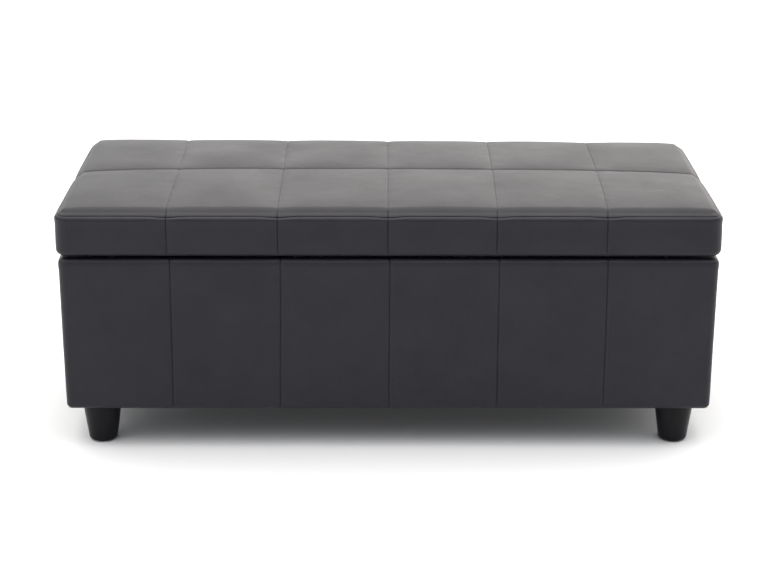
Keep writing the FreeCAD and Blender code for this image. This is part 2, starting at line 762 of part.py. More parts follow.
def hinges():
    pins = []
    pin_radius = "sizes.hinge_pin_diameter / 2"
    base_levels = ("places.rim_level", "places.rim_level + sizes.leaf_thickness")
    lid_levels = ("places.lid_level - sizes.leaf_thickness", "places.lid_level")
    for name, middle in HINGES.items():
        hinge_leaf(f"hinge_{name}_base_leaf", middle, "sizes.base_leaf_width", base_levels,
                   range(0, KNUCKLES, 2), pin_radius, base_screws)
        hinge_leaf(f"hinge_{name}_lid_leaf", middle, "sizes.lid_leaf_width", lid_levels,
                   range(1, KNUCKLES, 2), f"{pin_radius} + sizes.pin_running_clearance", lid_screws)
        start = (f"({middle}) - sizes.hinge_length / 2", "places.hinge_y", "places.hinge_z")
        pins.append(cylinder(f"hinge_pin_{name}", start, "+X", pin_radius, "sizes.hinge_length"))
    node(group("hinge_pins", pins))


hinges()


# ---------------------------------------------------------------------------------------------
# Lid stays: a slotted arm hangs from a pivot under the lid and slides on a shoulder pin fixed to
# the end panel

def stay_rivet(name, side):
    """Pivot rivet with a head on either side of the bracket flange and the arm."""
    direction = "+X" if side > 0 else "-X"
    centre = ("places.pivot_y", "places.pivot_z")
    shank = cylinder(f"{name}_shank", (f"{side} * places.flange_inner", *centre), direction,
                     "sizes.rivet_diameter / 2", "places.arm_outer - places.flange_inner")
    outer_head = cylinder(f"{name}_outer_head", (f"{side} * places.arm_outer", *centre), direction,
                          "sizes.rivet_head_diameter / 2", "sizes.rivet_head")
    inner_start = f"{side} * (places.flange_inner - sizes.rivet_head)"
    inner_head = cylinder(f"{name}_inner_head", (inner_start, *centre), direction,
                          "sizes.rivet_head_diameter / 2", "sizes.rivet_head")
    return fuse(name, [shank, outer_head, inner_head])


def shoulder_pin(name, side):
    """Pin riveted into the wall plate, with a head that keeps the arm on."""
    direction = "-X" if side > 0 else "+X"
    centre = ("places.shoulder_y", "places.shoulder_z")
    shank = cylinder(f"{name}_shank", (f"{side} * places.lined_half_x", *centre), direction,
                     "sizes.stay_pin_diameter / 2",
                     "places.lined_half_x - places.arm_inner + sizes.stay_side_gap")
    head_start = f"{side} * (places.arm_inner - sizes.stay_side_gap)"
    head = cylinder(f"{name}_head", (head_start, *centre), direction,
                    "sizes.pin_head_diameter / 2", "sizes.rivet_head")
    return fuse(name, [shank, head])


def base_bracket(name, side, pin):
    """Wall plate that carries the shoulder pin."""
    body = doc.addObject("PartDesign::Body", f"{name}_blank")
    half_wide = "sizes.base_bracket_width / 2"
    outline = polygon_sketch(body, f"{name}_outline", "YZ_Plane", [
        (f"-{half_wide}", "0"),
        (half_wide, "0"),
        (half_wide, "places.wall_plate_top - places.wall_plate_low"),
        (f"-{half_wide}", "places.wall_plate_top - places.wall_plate_low"),
    ])
    raised = pad(body, f"{name}_pad", outline, "sizes.bracket_sheet")
    round_edges(body, f"{name}_corners", raised, runs_along(V(1, 0, 0)),
                "sizes.bracket_corner_radius")
    x = "places.bracket_face" if side > 0 else "-places.lined_half_x"
    place(body, x, "places.shoulder_y", "places.wall_plate_low")
    node(cut(name, body, base_screws, pin))


def lid_bracket(name, side, rivet):
    """Angle bracket: a foot screwed under the lid and a flange that carries the pivot."""
    body = doc.addObject("PartDesign::Body", f"{name}_blank")
    drop = "places.lid_level - places.pivot_z + sizes.stay_arm_width / 2"
    outline = polygon_sketch(body, f"{name}_outline", "XZ_Plane", [
        ("0", "0"),
        (f"-{side} * sizes.bracket_foot", "0"),
        (f"-{side} * sizes.bracket_foot", "-sizes.bracket_sheet"),
        (f"-{side} * sizes.bracket_sheet", "-sizes.bracket_sheet"),
        (f"-{side} * sizes.bracket_sheet", f"-({drop})"),
        ("0", f"-({drop})"),
    ])
    raised = pad(body, f"{name}_pad", outline, "sizes.bracket_length", midplane=True)
    low = -number(drop)

    def flange_corner(edge):
        return runs_along(V(1, 0, 0))(edge) and abs(edge.BoundBox.ZMin - low) < 1e-6

    round_edges(body, f"{name}_corners", raised, flange_corner, "sizes.stay_arm_width")
    place(body, f"{side} * places.flange_outer", "places.pivot_y", "places.lid_level")
    node(cut(name, body, lid_screws, rivet))


def stay_arm(name, side):
    """Slotted arm, drawn hanging straight down from its pivot and then turned to its rest angle."""
    body = doc.addObject("PartDesign::Body", name)
    outline = bar_sketch(body, f"{name}_outline", "YZ_Plane", "0",
                         "-(places.slot_end + places.slot_radius)", "sizes.stay_arm_width / 2")
    pad(body, f"{name}_pad", outline, "sizes.stay_arm_thickness")
    pocket(body, f"{name}_slot",
           bar_sketch(body, f"{name}_slot_outline", "YZ_Plane", "-places.slot_start",
                      "-places.slot_end", "places.slot_radius"))
    hole = new_sketch(body, f"{name}_hole_outline", "YZ_Plane")
    radius = "sizes.rivet_diameter / 2 + sizes.pin_running_clearance"
    hole.addGeometry(Part.Circle(V(), V(0, 0, 1), number(radius)), False)
    hole.addConstraint(Sketcher.Constraint("Coincident", 0, 3, -1, 1))
    index = hole.addConstraint(Sketcher.Constraint("Radius", 0, number(radius)))
    hole.setExpression(f"Constraints[{index}]", radius)
    pocket(body, f"{name}_hole", hole)
    body.Placement = FreeCAD.Placement(V(), FreeCAD.Rotation(V(1, 0, 0), number("places.arm_angle")))
    body.setExpression("Placement.Rotation.Angle", "places.arm_angle")
    x = "places.arm_inner" if side > 0 else "-places.arm_outer"
    place(body, x, "places.pivot_y", "places.pivot_z")
    node(body)


def stays():
    rivets = []
    pins = []
    for name, side in SIDES.items():
        rivet = stay_rivet(f"stay_rivet_{name}", side)
        pin = shoulder_pin(f"stay_pin_{name}", side)
        rivets.append(rivet)
        pins.append(pin)
        base_bracket(f"stay_base_bracket_{name}", side, pin)
        lid_bracket(f"stay_lid_bracket_{name}", side, rivet)
        stay_arm(f"stay_arm_{name}", side)
    node(group("stay_pivot_rivets", rivets))
    node(group("stay_shoulder_pins", pins))


stays()


# ---------------------------------------------------------------------------------------------
# Check and write

doc.recompute()
for item in doc.Objects:
    assert not {"Invalid", "Error"} & set(item.State), f"{item.Label} failed: {item.State}"
for piece in nodes:
    assert not piece.Shape.isNull(), f"{piece.Label} has no shape"
    assert piece.Shape.isValid(), f"{piece.Label} is not valid"
    assert piece.Shape.Solids, f"{piece.Label} has no solid"

os.makedirs(PARTS_FOLDER, exist_ok=True)
for piece in nodes:
    piece.Shape.exportStep(f"{PARTS_FOLDER}/{piece.Label}.step")
print(f"{len(nodes)} nodes written")
print(f"stay pivot y {number('places.pivot_y'):.4f} z {number('places.pivot_z'):.4f}")
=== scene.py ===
import json
import math

import bmesh
import bpy
import numpy as np
from mathutils import Matrix, Vector


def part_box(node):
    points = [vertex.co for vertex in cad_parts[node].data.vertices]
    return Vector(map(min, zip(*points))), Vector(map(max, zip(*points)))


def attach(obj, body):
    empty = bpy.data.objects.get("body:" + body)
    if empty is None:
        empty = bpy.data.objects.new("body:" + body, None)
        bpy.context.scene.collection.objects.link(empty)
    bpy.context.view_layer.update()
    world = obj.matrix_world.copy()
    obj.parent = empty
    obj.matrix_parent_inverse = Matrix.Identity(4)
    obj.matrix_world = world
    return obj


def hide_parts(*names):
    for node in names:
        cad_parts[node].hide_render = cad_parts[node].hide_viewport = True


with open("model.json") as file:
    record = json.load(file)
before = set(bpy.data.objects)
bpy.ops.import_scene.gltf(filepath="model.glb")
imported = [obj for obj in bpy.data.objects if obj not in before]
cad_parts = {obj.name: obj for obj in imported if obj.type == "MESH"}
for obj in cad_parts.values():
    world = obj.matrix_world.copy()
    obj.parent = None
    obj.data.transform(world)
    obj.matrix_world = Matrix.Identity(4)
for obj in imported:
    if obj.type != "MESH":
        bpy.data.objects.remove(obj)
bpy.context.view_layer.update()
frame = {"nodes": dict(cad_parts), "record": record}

# Upholstered storage bench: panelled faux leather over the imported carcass, lid and hardware.
# Metres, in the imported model's frame: +X along the bench, +Y to the back, +Z up.

MM = 0.001


# ------------------------------------------------------------------------------------------
# Sizes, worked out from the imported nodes

def spans(*nodes):
    """Lowest and highest corners of several nodes taken together."""
    boxes = [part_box(node) for node in nodes]
    low = np.min([np.array(box[0]) for box in boxes], axis=0)
    high = np.max([np.array(box[1]) for box in boxes], axis=0)
    return low, high


lid_low, lid_high = spans("lid_border_cover", "lid_top_cover")
base_low, base_high = spans("front_cover", "back_cover", "left_end_cover", "right_end_cover")
seam_level = float(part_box("lid_top_cover")[0].z)
panel_low, panel_high = spans("front_panel", "back_panel", "left_end_panel", "right_end_panel")
lined_low, lined_high = spans("floor_lining")
wall_lining_low, wall_lining_high = spans("wall_lining")
window_low, window_high = spans("lid_underside_lining")
dust_low, dust_high = spans("dust_cover")

LID_HALF = (float(lid_high[0]), float(lid_high[1]))
LID_LOW, LID_HIGH = float(lid_low[2]), float(lid_high[2])
BASE_HALF = (float(base_high[0]), float(base_high[1]))
BASE_LOW, BASE_HIGH = float(base_low[2]), float(base_high[2])
RIM_WIDTH = float(base_high[1] - dust_high[1])

# Seams between the sewn panels, six panels along and two across.
PANEL_PITCH = 202 * MM
SEAMS_X = tuple(PANEL_PITCH * step for step in (-2, -1, 0, 1, 2))
SEAMS_Y = (0.0,)

# The corners round the plan, and the other radii round the edges above and below.
LID_CORNER = 22 * MM
LID_TOP_RADIUS = 22 * MM
LID_BOTTOM_RADIUS = 12 * MM
BASE_CORNER = 14 * MM
BASE_RIM_RADIUS = 10 * MM
BASE_FOOT_RADIUS = 8 * MM
BASE_LIP_RADIUS = 3 * MM
WELD_DISTANCE = 0.02 * MM

# Stitches lie in a row beside their seam.
STITCH_OFFSET = 4.6 * MM
STITCH_PITCH = 4.2 * MM
STITCH_LENGTH = 3.1 * MM
STITCH_RADIUS = 0.33 * MM
STITCH_SIDES = 6


# ------------------------------------------------------------------------------------------
# Small numerical tools

def smooth(value, low, high):
    """0 below low, 1 above high and an S-curve between."""
    t = np.clip((value - low) / (high - low), 0, 1)
    return t * t * (3 - 2 * t)


def bulge(value, centre, width):
    """1 at the centre, falling away evenly on both sides of it."""
    return np.exp(-(((value - centre) / width) ** 2))


def lattice_value(i, j, k, seed):
    """A repeatable number from -1 to 1 for each point of a whole-number lattice."""
    mask = 0xFFFFFFFF
    n = (i * 374761393 + j * 668265263 + k * 1442695041 + seed * 974634777) & mask
    n = ((n ^ (n >> 13)) * 1274126177) & mask
    return ((n ^ (n >> 16)) & 0xFFFF) / 32767.5 - 1


def noise(points, size, seed=0):
    """Smooth noise from -1 to 1 whose bumps are about size across."""
    scaled = points / size
    cell = np.floor(scaled).astype(np.int64)
    part = scaled - cell
    part = part * part * (3 - 2 * part)
    total = np.zeros(len(points))
    for di in (0, 1):
        for dj in (0, 1):
            for dk in (0, 1):
                weight = np.ones(len(points))
                for axis, step in enumerate((di, dj, dk)):
                    weight *= part[:, axis] if step else 1 - part[:, axis]
                total += weight * lattice_value(
                    cell[:, 0] + di, cell[:, 1] + dj, cell[:, 2] + dk, seed)
    return total


def graded(stops, fine, coarse, growth=1.35):
    """Places between stops: fine steps beside each stop, growing to coarse ones between."""
    places = [stops[0]]
    for start, end in zip(stops, stops[1:]):
        half = (end - start) / 2
        steps = []
        step = fine
        while sum(steps) < half:
            steps.append(step)
            step = min(step * growth, coarse)
        offsets = np.cumsum(steps) * half / sum(steps)
        places += [start + offset for offset in offsets]
        places += [end - offset for offset in offsets[-2::-1]]
        places.append(end)
    return np.array(places)


def nearest_offset(value, lines):
    """Signed distance from each value to the nearest line."""
    offsets = value[:, None] - np.array(lines)[None, :]
    nearest = np.abs(offsets).argmin(axis=1)
    return offsets[np.arange(len(value)), nearest]


def along_panel(value, lines, half):
    """-1 to 1 across each panel between neighbouring seams or the outer edge."""
    edges = np.array([-half, *lines, half])
    index = np.clip(np.searchsorted(edges, value) - 1, 0, len(edges) - 2)
    low, high = edges[index], edges[index + 1]
    return np.clip((value - low) / (high - low) * 2 - 1, -1, 1)


def unit(vectors):
    """The same directions at length 1."""
    return vectors / np.maximum(np.linalg.norm(vectors, axis=1, keepdims=True), 1e-12)


def add_mesh(name, points, faces, material, body):
    """A smooth-shaded piece that rides on a body."""
    mesh = bpy.data.meshes.new(name)
    mesh.from_pydata(np.asarray(points).tolist(), [], faces)
    mesh.validate()
    mesh.polygons.foreach_set("use_smooth", [True] * len(mesh.polygons))
    mesh.materials.append(material)
    piece = bpy.data.objects.new(name, mesh)
    bpy.context.scene.collection.objects.link(piece)
    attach(piece, body)
    return piece


# ------------------------------------------------------------------------------------------
# Leather relief shared by lid and base, in metres outwards

def plain_seam(offset, depth=1.4 * MM, width=0.9 * MM, pull=0.7 * MM, reach=6 * MM):
    """The thin dark line of a seam and the softer valley that its thread pulls in."""
    valley = pull * np.exp(-np.abs(offset) / reach)
    return -(depth * bulge(offset, 0, width) + valley)


def topstitch(offset):
    """The shallow valley under a row of stitches beside a seam."""
    return -0.45 * MM * bulge(offset, STITCH_OFFSET, 1.1 * MM)


def puckers(points, offset, seed, reach=11 * MM, size=13 * MM, height=0.5 * MM):
    """Small gathers beside a seam, held down by the thread on its very line."""
    near = np.exp(-np.abs(offset) / reach) * (1 - 0.7 * bulge(offset, 0, 1.5 * MM))
    return height * near * noise(points, size, seed)


def creases(points, seed):
    """Slow unevenness of leather over foam, with a fainter and closer one on it."""
    slow = 0.5 * MM * noise(points, 95 * MM, seed)
    close = 0.14 * MM * noise(points, 34 * MM, seed + 7)
    return slow + close


# ------------------------------------------------------------------------------------------
# Lid: a rounded block whose every point is worked out from its place on the sharp block

# How the soft lid lies: its ends are drawn in towards the back, its back edge is lifted at the
# left end and lowered at the right, each crosswise seam strays to the left at the front, and the
# long seam lies behind the middle, least so at the ends.
END_DRAW = 10 * MM
LOW_DRAW_SHARE = 0.35
BACK_LIFT = (4.5 * MM, -2.5 * MM)
LID_SEWING = (2.6 * MM, 1.3 * MM, 1.8 * MM, 4.7 * MM, 5.2 * MM)
LONG_SEAM_BACK = 21 * MM
LONG_SEAM_SAG = 14 * MM

# The border seam dips at each crosswise seam, and the top falls away towards its edges.
SEAM_DIP = 3.2 * MM
SEAM_DIP_REACH = 24 * MM
SEAM_DIP_HEIGHT = 12 * MM
EDGE_FALL = 3.4 * MM
EDGE_FALL_REACH = 22 * MM

# How full the leather is over its foam.
PANEL_PUFF = 4.2 * MM
LID_CROWN = 4.0 * MM
TOP_SINK = 2.2 * MM
BORDER_PUFF = 1.7 * MM
BORDER_ROLL = 1.1 * MM
SEAM_LIP = 1.0 * MM

# Rows of points round each upper edge and corner, round the lower edges, and between.
ROUNDING_ROWS, LOWER_ROWS, MIDDLE_ROWS = 12, 9, 8

# Where the border seam lies on the sharp block, measured down from its top.
SEAM_SLACK = LID_TOP_RADIUS * (
    math.acos(1 - (LID_HIGH - seam_level) / LID_TOP_RADIUS) / (math.pi / 4) - 1)


def lid_seam_dip(x, y):
    """How far the border seam is drawn down beside each crosswise seam."""
    on_end = np.abs(x) > LID_HALF[0] - LID_CORNER
    offset = np.where(on_end, nearest_offset(y, SEAMS_Y), nearest_offset(x, SEAMS_X))
    return SEAM_DIP * bulge(offset, 0, SEAM_DIP_REACH)


def plan_frame(x, y, half, corner):
    """Splits plan points into the core they round about, the outward way and the reach."""
    xy = np.stack([x, y], axis=1)
    limit = np.array(half) - corner
    core = np.clip(xy, -limit, limit)
    out = xy - core
    reach = np.abs(out).max(axis=1)
    length = np.linalg.norm(out, axis=1)
    way = np.where(length[:, None] > 1e-9, out / np.maximum(length, 1e-9)[:, None], 0)
    return core, way, reach


def lid_skin(sharp):
    """Leather surface points and outward ways for places on the lid's sharp block."""
    x, y, z = sharp.T
    half_arc = math.pi / 4
    core, way, reach = plan_frame(x, y, LID_HALF, LID_CORNER)
    inset = LID_CORNER - reach
    on_side = inset < 1e-7
    down = LID_HIGH - z
    above_seam = np.where(on_side, SEAM_SLACK - down, SEAM_SLACK + inset) * half_arc
    dip = lid_seam_dip(x, y) * bulge(down, SEAM_SLACK, SEAM_DIP_HEIGHT)
    down = np.where(on_side, down + dip, down)
    upper = z > (LID_LOW + LID_HIGH) / 2
    radius = np.where(upper, LID_TOP_RADIUS, LID_BOTTOM_RADIUS)

    # Each edge's arc takes its first half from the face and its second half from the side.
    fall = np.where(upper, down, z - LID_LOW)
    turn_side = half_arc * (1 + np.clip(fall / radius, 0, 1))
    turn_face = half_arc * np.clip((radius - inset) / radius, 0, 1)
    turn = np.where(on_side, turn_side, turn_face)
    in_arc = np.where(on_side, fall < radius, inset < radius)
    new_inset = np.where(in_arc, radius * (1 - np.sin(turn)), inset)
    new_fall = np.where(in_arc, radius * (1 - np.cos(turn)), fall)
    level = np.where(upper, LID_HIGH - new_fall, LID_LOW + new_fall)
    plan = core + way * (LID_CORNER - new_inset)[:, None]
    rounded = np.column_stack([plan, level])
    up = np.cos(turn) * np.where(upper, 1, -1)
    up = np.where(on_side & ~in_arc, 0, up)
    out = np.sqrt(np.clip(1 - up ** 2, 0, 1))
    ways = unit(np.column_stack([way * out[:, None], up]))
    relief = lid_relief(rounded, up, x, y, above_seam)
    return settle_lid(rounded + ways * relief[:, None]), ways


def settle_lid(points):
    """Moves the points of the even lid to where the soft lid's lie."""
    x, y, z = points.T
    back = (y + LID_HALF[1]) / (2 * LID_HALF[1])
    height = smooth(z, LID_LOW, LID_HIGH)
    off_bottom = smooth(z, LID_LOW, LID_LOW + LID_BOTTOM_RADIUS)
    past = np.clip((np.abs(x) - SEAMS_X[-1]) / (LID_HALF[0] - SEAMS_X[-1]), 0, 1)
    drawn_in = END_DRAW * back * past * (LOW_DRAW_SHARE * off_bottom + (1 - LOW_DRAW_SHARE) * height)
    at_front = 1 - 0.9 * smooth(back, -0.1, 0.5)
    wander = np.interp(x, SEAMS_X, LID_SEWING) * at_front * (1 - past) * off_bottom
    lift = height ** 2 * back * np.interp(x, (-LID_HALF[0], LID_HALF[0]), BACK_LIFT)
    bow = LONG_SEAM_BACK - LONG_SEAM_SAG * (np.abs(x) / LID_HALF[0]) ** 3
    middle = np.clip(1 - (y / LID_HALF[1]) ** 2, 0, 1) * height
    return np.column_stack([x - np.sign(x) * drawn_in - wander, y + bow * middle, z + lift])


def lid_relief(points, up, x, y, border):
    """Height of the leather over the rounded block. border is the way up from the border seam."""
    z = points[:, 2]
    across = along_panel(x, SEAMS_X, LID_HALF[0])
    row = along_panel(y, SEAMS_Y, LID_HALF[1])
    on_top = smooth(up, 0.25, 0.95)
    on_end = np.abs(x) > LID_HALF[0] - LID_CORNER
    shown = smooth(up, -0.9, -0.4)
    crosswise = nearest_offset(x, SEAMS_X)
    lengthwise = nearest_offset(y, SEAMS_Y)

    puff = PANEL_PUFF * (1 - np.abs(across) ** 2.6) * (1 - np.abs(row) ** 2.4)
    crown = LID_CROWN * (1 - (x / LID_HALF[0]) ** 4) * (1 - (y / LID_HALF[1]) ** 2)
    edge_fall = EDGE_FALL * (np.exp((np.abs(x) - LID_HALF[0]) / EDGE_FALL_REACH)
                             + np.exp((np.abs(y) - LID_HALF[1]) / EDGE_FALL_REACH))
    top = smooth(up, 0.05, 1) * (puff + crown - edge_fall - TOP_SINK)

    middle = (LID_LOW + seam_level) / 2
    half_height = (seam_level - LID_LOW) / 2
    level = np.clip((z - middle) / half_height, -1, 1)
    panel = np.where(on_end, row, across)
    side_puff = BORDER_PUFF * (1 - np.abs(panel) ** 3) * np.clip(1 - level ** 2, 0, 1) ** 0.7
    roll = BORDER_ROLL * bulge(border, -8 * MM, 5 * MM)
    near_seam = bulge(np.where(on_end, lengthwise, crosswise), 0, 30 * MM)
    lip = SEAM_LIP * near_seam * bulge(border, -4.5 * MM, 2.4 * MM)
    side = (1 - on_top) * (side_puff + roll + lip) * shown
    return top + side + lid_sewing(points, on_top, shown, crosswise, lengthwise, border)


def lid_sewing(points, on_top, shown, crosswise, lengthwise, border):
    """The seams, stitch rows and gathers of the lid, and the unevenness between them."""
    on_side = 1 - on_top
    fine = plain_seam(crosswise, depth=0.9 * MM, width=0.8 * MM)
    long_seam = plain_seam(lengthwise, depth=0.9 * MM, width=1.2 * MM, pull=2.4 * MM, reach=18 * MM)
    border_seam = plain_seam(border, depth=0.9 * MM, width=0.65 * MM, pull=0.6 * MM, reach=4 * MM)
    seams = shown * (on_side * plain_seam(crosswise) + on_top * fine + topstitch(crosswise))
    seams = seams + shown * long_seam + on_side * border_seam
    border_gathers = puckers(points, border, 9, reach=9 * MM, size=15 * MM, height=0.6 * MM)
    gathers = puckers(points, crosswise, 3) + puckers(points, lengthwise, 5, reach=16 * MM)
    gathers = shown * (gathers + on_side * border_gathers)
    return seams + gathers + shown * creases(points, 11)


def lattice_shell(xs, ys, zs, window):
    """Points and outward quads of a block's surface, open underneath inside the window."""
    index = {}
    points = []
    faces = []

    def vertex(i, j, k):
        if (i, j, k) not in index:
            index[i, j, k] = len(points)
            points.append((xs[i], ys[j], zs[k]))
        return index[i, j, k]

    def quad(corners, outward):
        face = [vertex(*corner) for corner in corners]
        faces.append(face if outward else face[::-1])

    def in_window(i, j):
        across, along = (xs[i] + xs[i + 1]) / 2, (ys[j] + ys[j + 1]) / 2
        return abs(across) < window[0] and abs(along) < window[1]

    last_i, last_j, last_k = len(xs) - 1, len(ys) - 1, len(zs) - 1
    for i in range(last_i):
        for j in range(last_j):
            for k in (0, last_k):
                if k > 0 or not in_window(i, j):
                    quad(((i, j, k), (i + 1, j, k), (i + 1, j + 1, k), (i, j + 1, k)), k > 0)
        for k in range(last_k):
            for j in (0, last_j):
                quad(((i, j, k), (i + 1, j, k), (i + 1, j, k + 1), (i, j, k + 1)), j == 0)
    for j in range(last_j):
        for k in range(last_k):
            for i in (0, last_i):
                quad(((i, j, k), (i, j + 1, k), (i, j + 1, k + 1), (i, j, k + 1)), i > 0)
    return np.array(points), faces


def edge_places(half, corner, seams, fine, coarse):
    """Divisions along one side: even steps round the corners, graded between the seams."""
    inner = half - corner
    rounding = np.linspace(inner, half, ROUNDING_ROWS)
    middle = graded([-inner, *seams, inner], fine, coarse)
    return np.concatenate([-rounding[::-1], middle[1:-1], rounding])


def snapped(places, value):
    """The places with the ones nearest to plus and minus value moved onto them."""
    moved = places.copy()
    for target in (-value, value):
        moved[np.abs(places - target).argmin()] = target
    return moved


def board_pocket(xs, ys, window):
    """Points and quads of the hollow that holds the lid board, from the window's edge inwards."""
    inner_x = xs[np.abs(xs) < window[0] + 0.01 * MM]
    inner_y = ys[np.abs(ys) < window[1] + 0.01 * MM]
    edge = [(x, -window[1]) for x in inner_x[:-1]]
    edge += [(window[0], y) for y in inner_y[:-1]]
    edge += [(x, window[1]) for x in inner_x[:0:-1]]
    edge += [(-window[0], y) for y in inner_y[:0:-1]]
    edge = np.array(edge)
    board_high = np.array(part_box("lid_board")[1])
    around_board = edge * board_high[:2] / np.array(window)
    levels = (lid_low[2], window_high[2], window_high[2], board_high[2])
    rings = [np.column_stack([plan, np.full(len(plan), level)])
             for plan, level in zip((edge, edge, around_board, around_board), levels)]
    count = len(edge)
    faces = [[ring * count + c, (ring + 1) * count + c, (ring + 1) * count + (c + 1) % count,
              ring * count + (c + 1) % count] for ring in range(3) for c in range(count)]
    faces.append([3 * count + c for c in range(count - 1, -1, -1)])
    return np.concatenate(rings), faces


def make_lid_leather(material):
    """The lid's whole upholstery as one padded piece, open underneath for the board."""
    window = (float(window_high[0]), float(window_high[1]))
    xs = edge_places(LID_HALF[0], LID_CORNER, SEAMS_X, fine=0.55 * MM, coarse=8 * MM)
    ys = edge_places(LID_HALF[1], LID_CORNER, SEAMS_Y, fine=0.7 * MM, coarse=6 * MM)
    xs, ys = snapped(xs, window[0]), snapped(ys, window[1])
    seam = LID_HIGH - SEAM_SLACK
    below_seam = graded([seam - 14 * MM, seam], fine=0.5 * MM, coarse=3 * MM)
    above_seam = graded([seam, LID_HIGH], fine=0.5 * MM, coarse=3 * MM)
    lower = np.linspace(LID_LOW, LID_LOW + LID_BOTTOM_RADIUS, LOWER_ROWS)
    middle = np.linspace(lower[-1], below_seam[0], MIDDLE_ROWS)
    zs = np.concatenate([lower, middle[1:], below_seam[1:], above_seam[1:]])
    sharp, faces = lattice_shell(xs, ys, zs, window)
    points = lid_skin(sharp)[0]
    pocket_points, pocket_faces = board_pocket(xs, ys, window)
    faces += [[index + len(points) for index in face] for face in pocket_faces]
    leather = add_mesh("lid_leather", np.concatenate([points, pocket_points]), faces, material, "lid")
    weld(leather)
    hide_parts("lid_top_cover", "lid_border_cover", "lid_foam", "lid_edge_wadding")


# ------------------------------------------------------------------------------------------
# Base sleeve: a closed profile carried round the rounded outline

# The sleeve narrows towards its foot. Each seam strays at its top and at its foot, to the right
# where the number is positive, and less near the ends of the bench.
BASE_NARROWING = 3.6 * MM
BASE_SEWING_TOP = (2.0 * MM, 3.4 * MM, 2.0 * MM, 1.4 * MM, -1.4 * MM)
BASE_SEWING_FOOT = (1.2 * MM, 0, 0.8 * MM, 1.2 * MM, -1.2 * MM)
BASE_SEWING_FADE = 150 * MM

# How full the leather is over its padding.
BASE_PUFF = 1.8 * MM
RIM_ROLL = 1.1 * MM

# Rows of points round the edges of the sleeve, up its side and down its turned-in leather.
FOOT_ROWS, SIDE_ROWS, RIM_ROWS, LIP_ROWS, TURN_IN_ROWS = 6, 40, 12, 5, 6
CORNER_COLUMNS = 10


def sleeve_profile():
    """Inset, level, and outward and upward share of the way out, round the padded wall."""
    low, high = BASE_LOW, BASE_HIGH
    foot, rim, lip = BASE_FOOT_RADIUS, BASE_RIM_RADIUS, BASE_LIP_RADIUS
    rows = [(RIM_WIDTH, low, 0, -1), (RIM_WIDTH * 0.6, low, 0, -1)]
    for angle in np.linspace(0, math.pi / 2, FOOT_ROWS):
        rows.append((foot * (1 - math.sin(angle)), low + foot * (1 - math.cos(angle)),
                     math.sin(angle), -math.cos(angle)))
    for level in np.linspace(low + foot, high - rim, SIDE_ROWS)[1:-1]:
        rows.append((0, level, 1, 0))
    for angle in np.linspace(0, math.pi / 2, RIM_ROWS):
        rows.append((rim * (1 - math.cos(angle)), high - rim * (1 - math.sin(angle)),
                     math.cos(angle), math.sin(angle)))
    rows.append(((rim + RIM_WIDTH - lip) / 2, high, 0, 1))
    for angle in np.linspace(0, math.pi / 2, LIP_ROWS):
        rows.append((RIM_WIDTH - lip * (1 - math.sin(angle)), high - lip * (1 - math.cos(angle)),
                     -math.sin(angle), math.cos(angle)))
    turned_in = float(wall_lining_high[2])
    board_out = float(base_high[1] - panel_high[1])
    board_in = float(base_high[1] - wall_lining_high[1])
    for level in np.linspace(high - lip, turned_in, TURN_IN_ROWS)[1:]:
        rows.append((RIM_WIDTH, level, -1, 0))
    board_top, board_low = float(panel_high[2]), float(panel_low[2])
    for inset, level in ((board_in, turned_in), (board_in, board_top), (board_out, board_top),
                         (board_out, board_low), (RIM_WIDTH, board_low)):
        rows.append((inset, level, 0, 0))
    return rows


def outline_columns():
    """Plan cores and outward ways round the base, anticlockwise from the front left corner."""
    limit_x, limit_y = BASE_HALF[0] - BASE_CORNER, BASE_HALF[1] - BASE_CORNER
    along_x = graded([-limit_x, *SEAMS_X, limit_x], fine=0.55 * MM, coarse=9 * MM)
    along_y = graded([-limit_y, *SEAMS_Y, limit_y], fine=0.55 * MM, coarse=9 * MM)
    cores = []
    ways = []
    for side, places in enumerate((along_x, along_y, -along_x, -along_y)):
        angle = -math.pi / 2 + side * math.pi / 2
        way = (round(math.cos(angle)), round(math.sin(angle)))
        for place in places:
            cores.append((place, way[1] * limit_y) if side % 2 == 0 else (way[0] * limit_x, place))
            ways.append(way)
        for turn in np.linspace(0, math.pi / 2, CORNER_COLUMNS)[1:-1]:
            ways.append((math.cos(angle + turn), math.sin(angle + turn)))
            cores.append(cores[-1])
    return np.array(cores), np.array(ways)


def base_skin(cores, ways, inset, level, out, up):
    """Leather surface points for outline columns at one row of the profile."""
    limit = np.array(BASE_HALF) - max(inset, BASE_CORNER)
    held = np.clip(cores, -limit, limit)
    plan = held + ways * max(BASE_CORNER - inset, 0)
    points = np.column_stack([plan, np.full(len(plan), level)])
    if out == 0 and up == 0:
        return points
    relief = base_relief(points, ways, level, out, up)
    directions = np.column_stack([ways * out, np.full(len(ways), up)])
    points = points + directions * relief[:, None]
    share = smooth(level, BASE_LOW, BASE_HIGH)
    wander = (share * np.interp(points[:, 0], SEAMS_X, BASE_SEWING_TOP)
              + (1 - share) * np.interp(points[:, 0], SEAMS_X, BASE_SEWING_FOOT))
    points[:, 0] += wander * smooth(BASE_HALF[0] - np.abs(points[:, 0]), 0, BASE_SEWING_FADE)
    return points


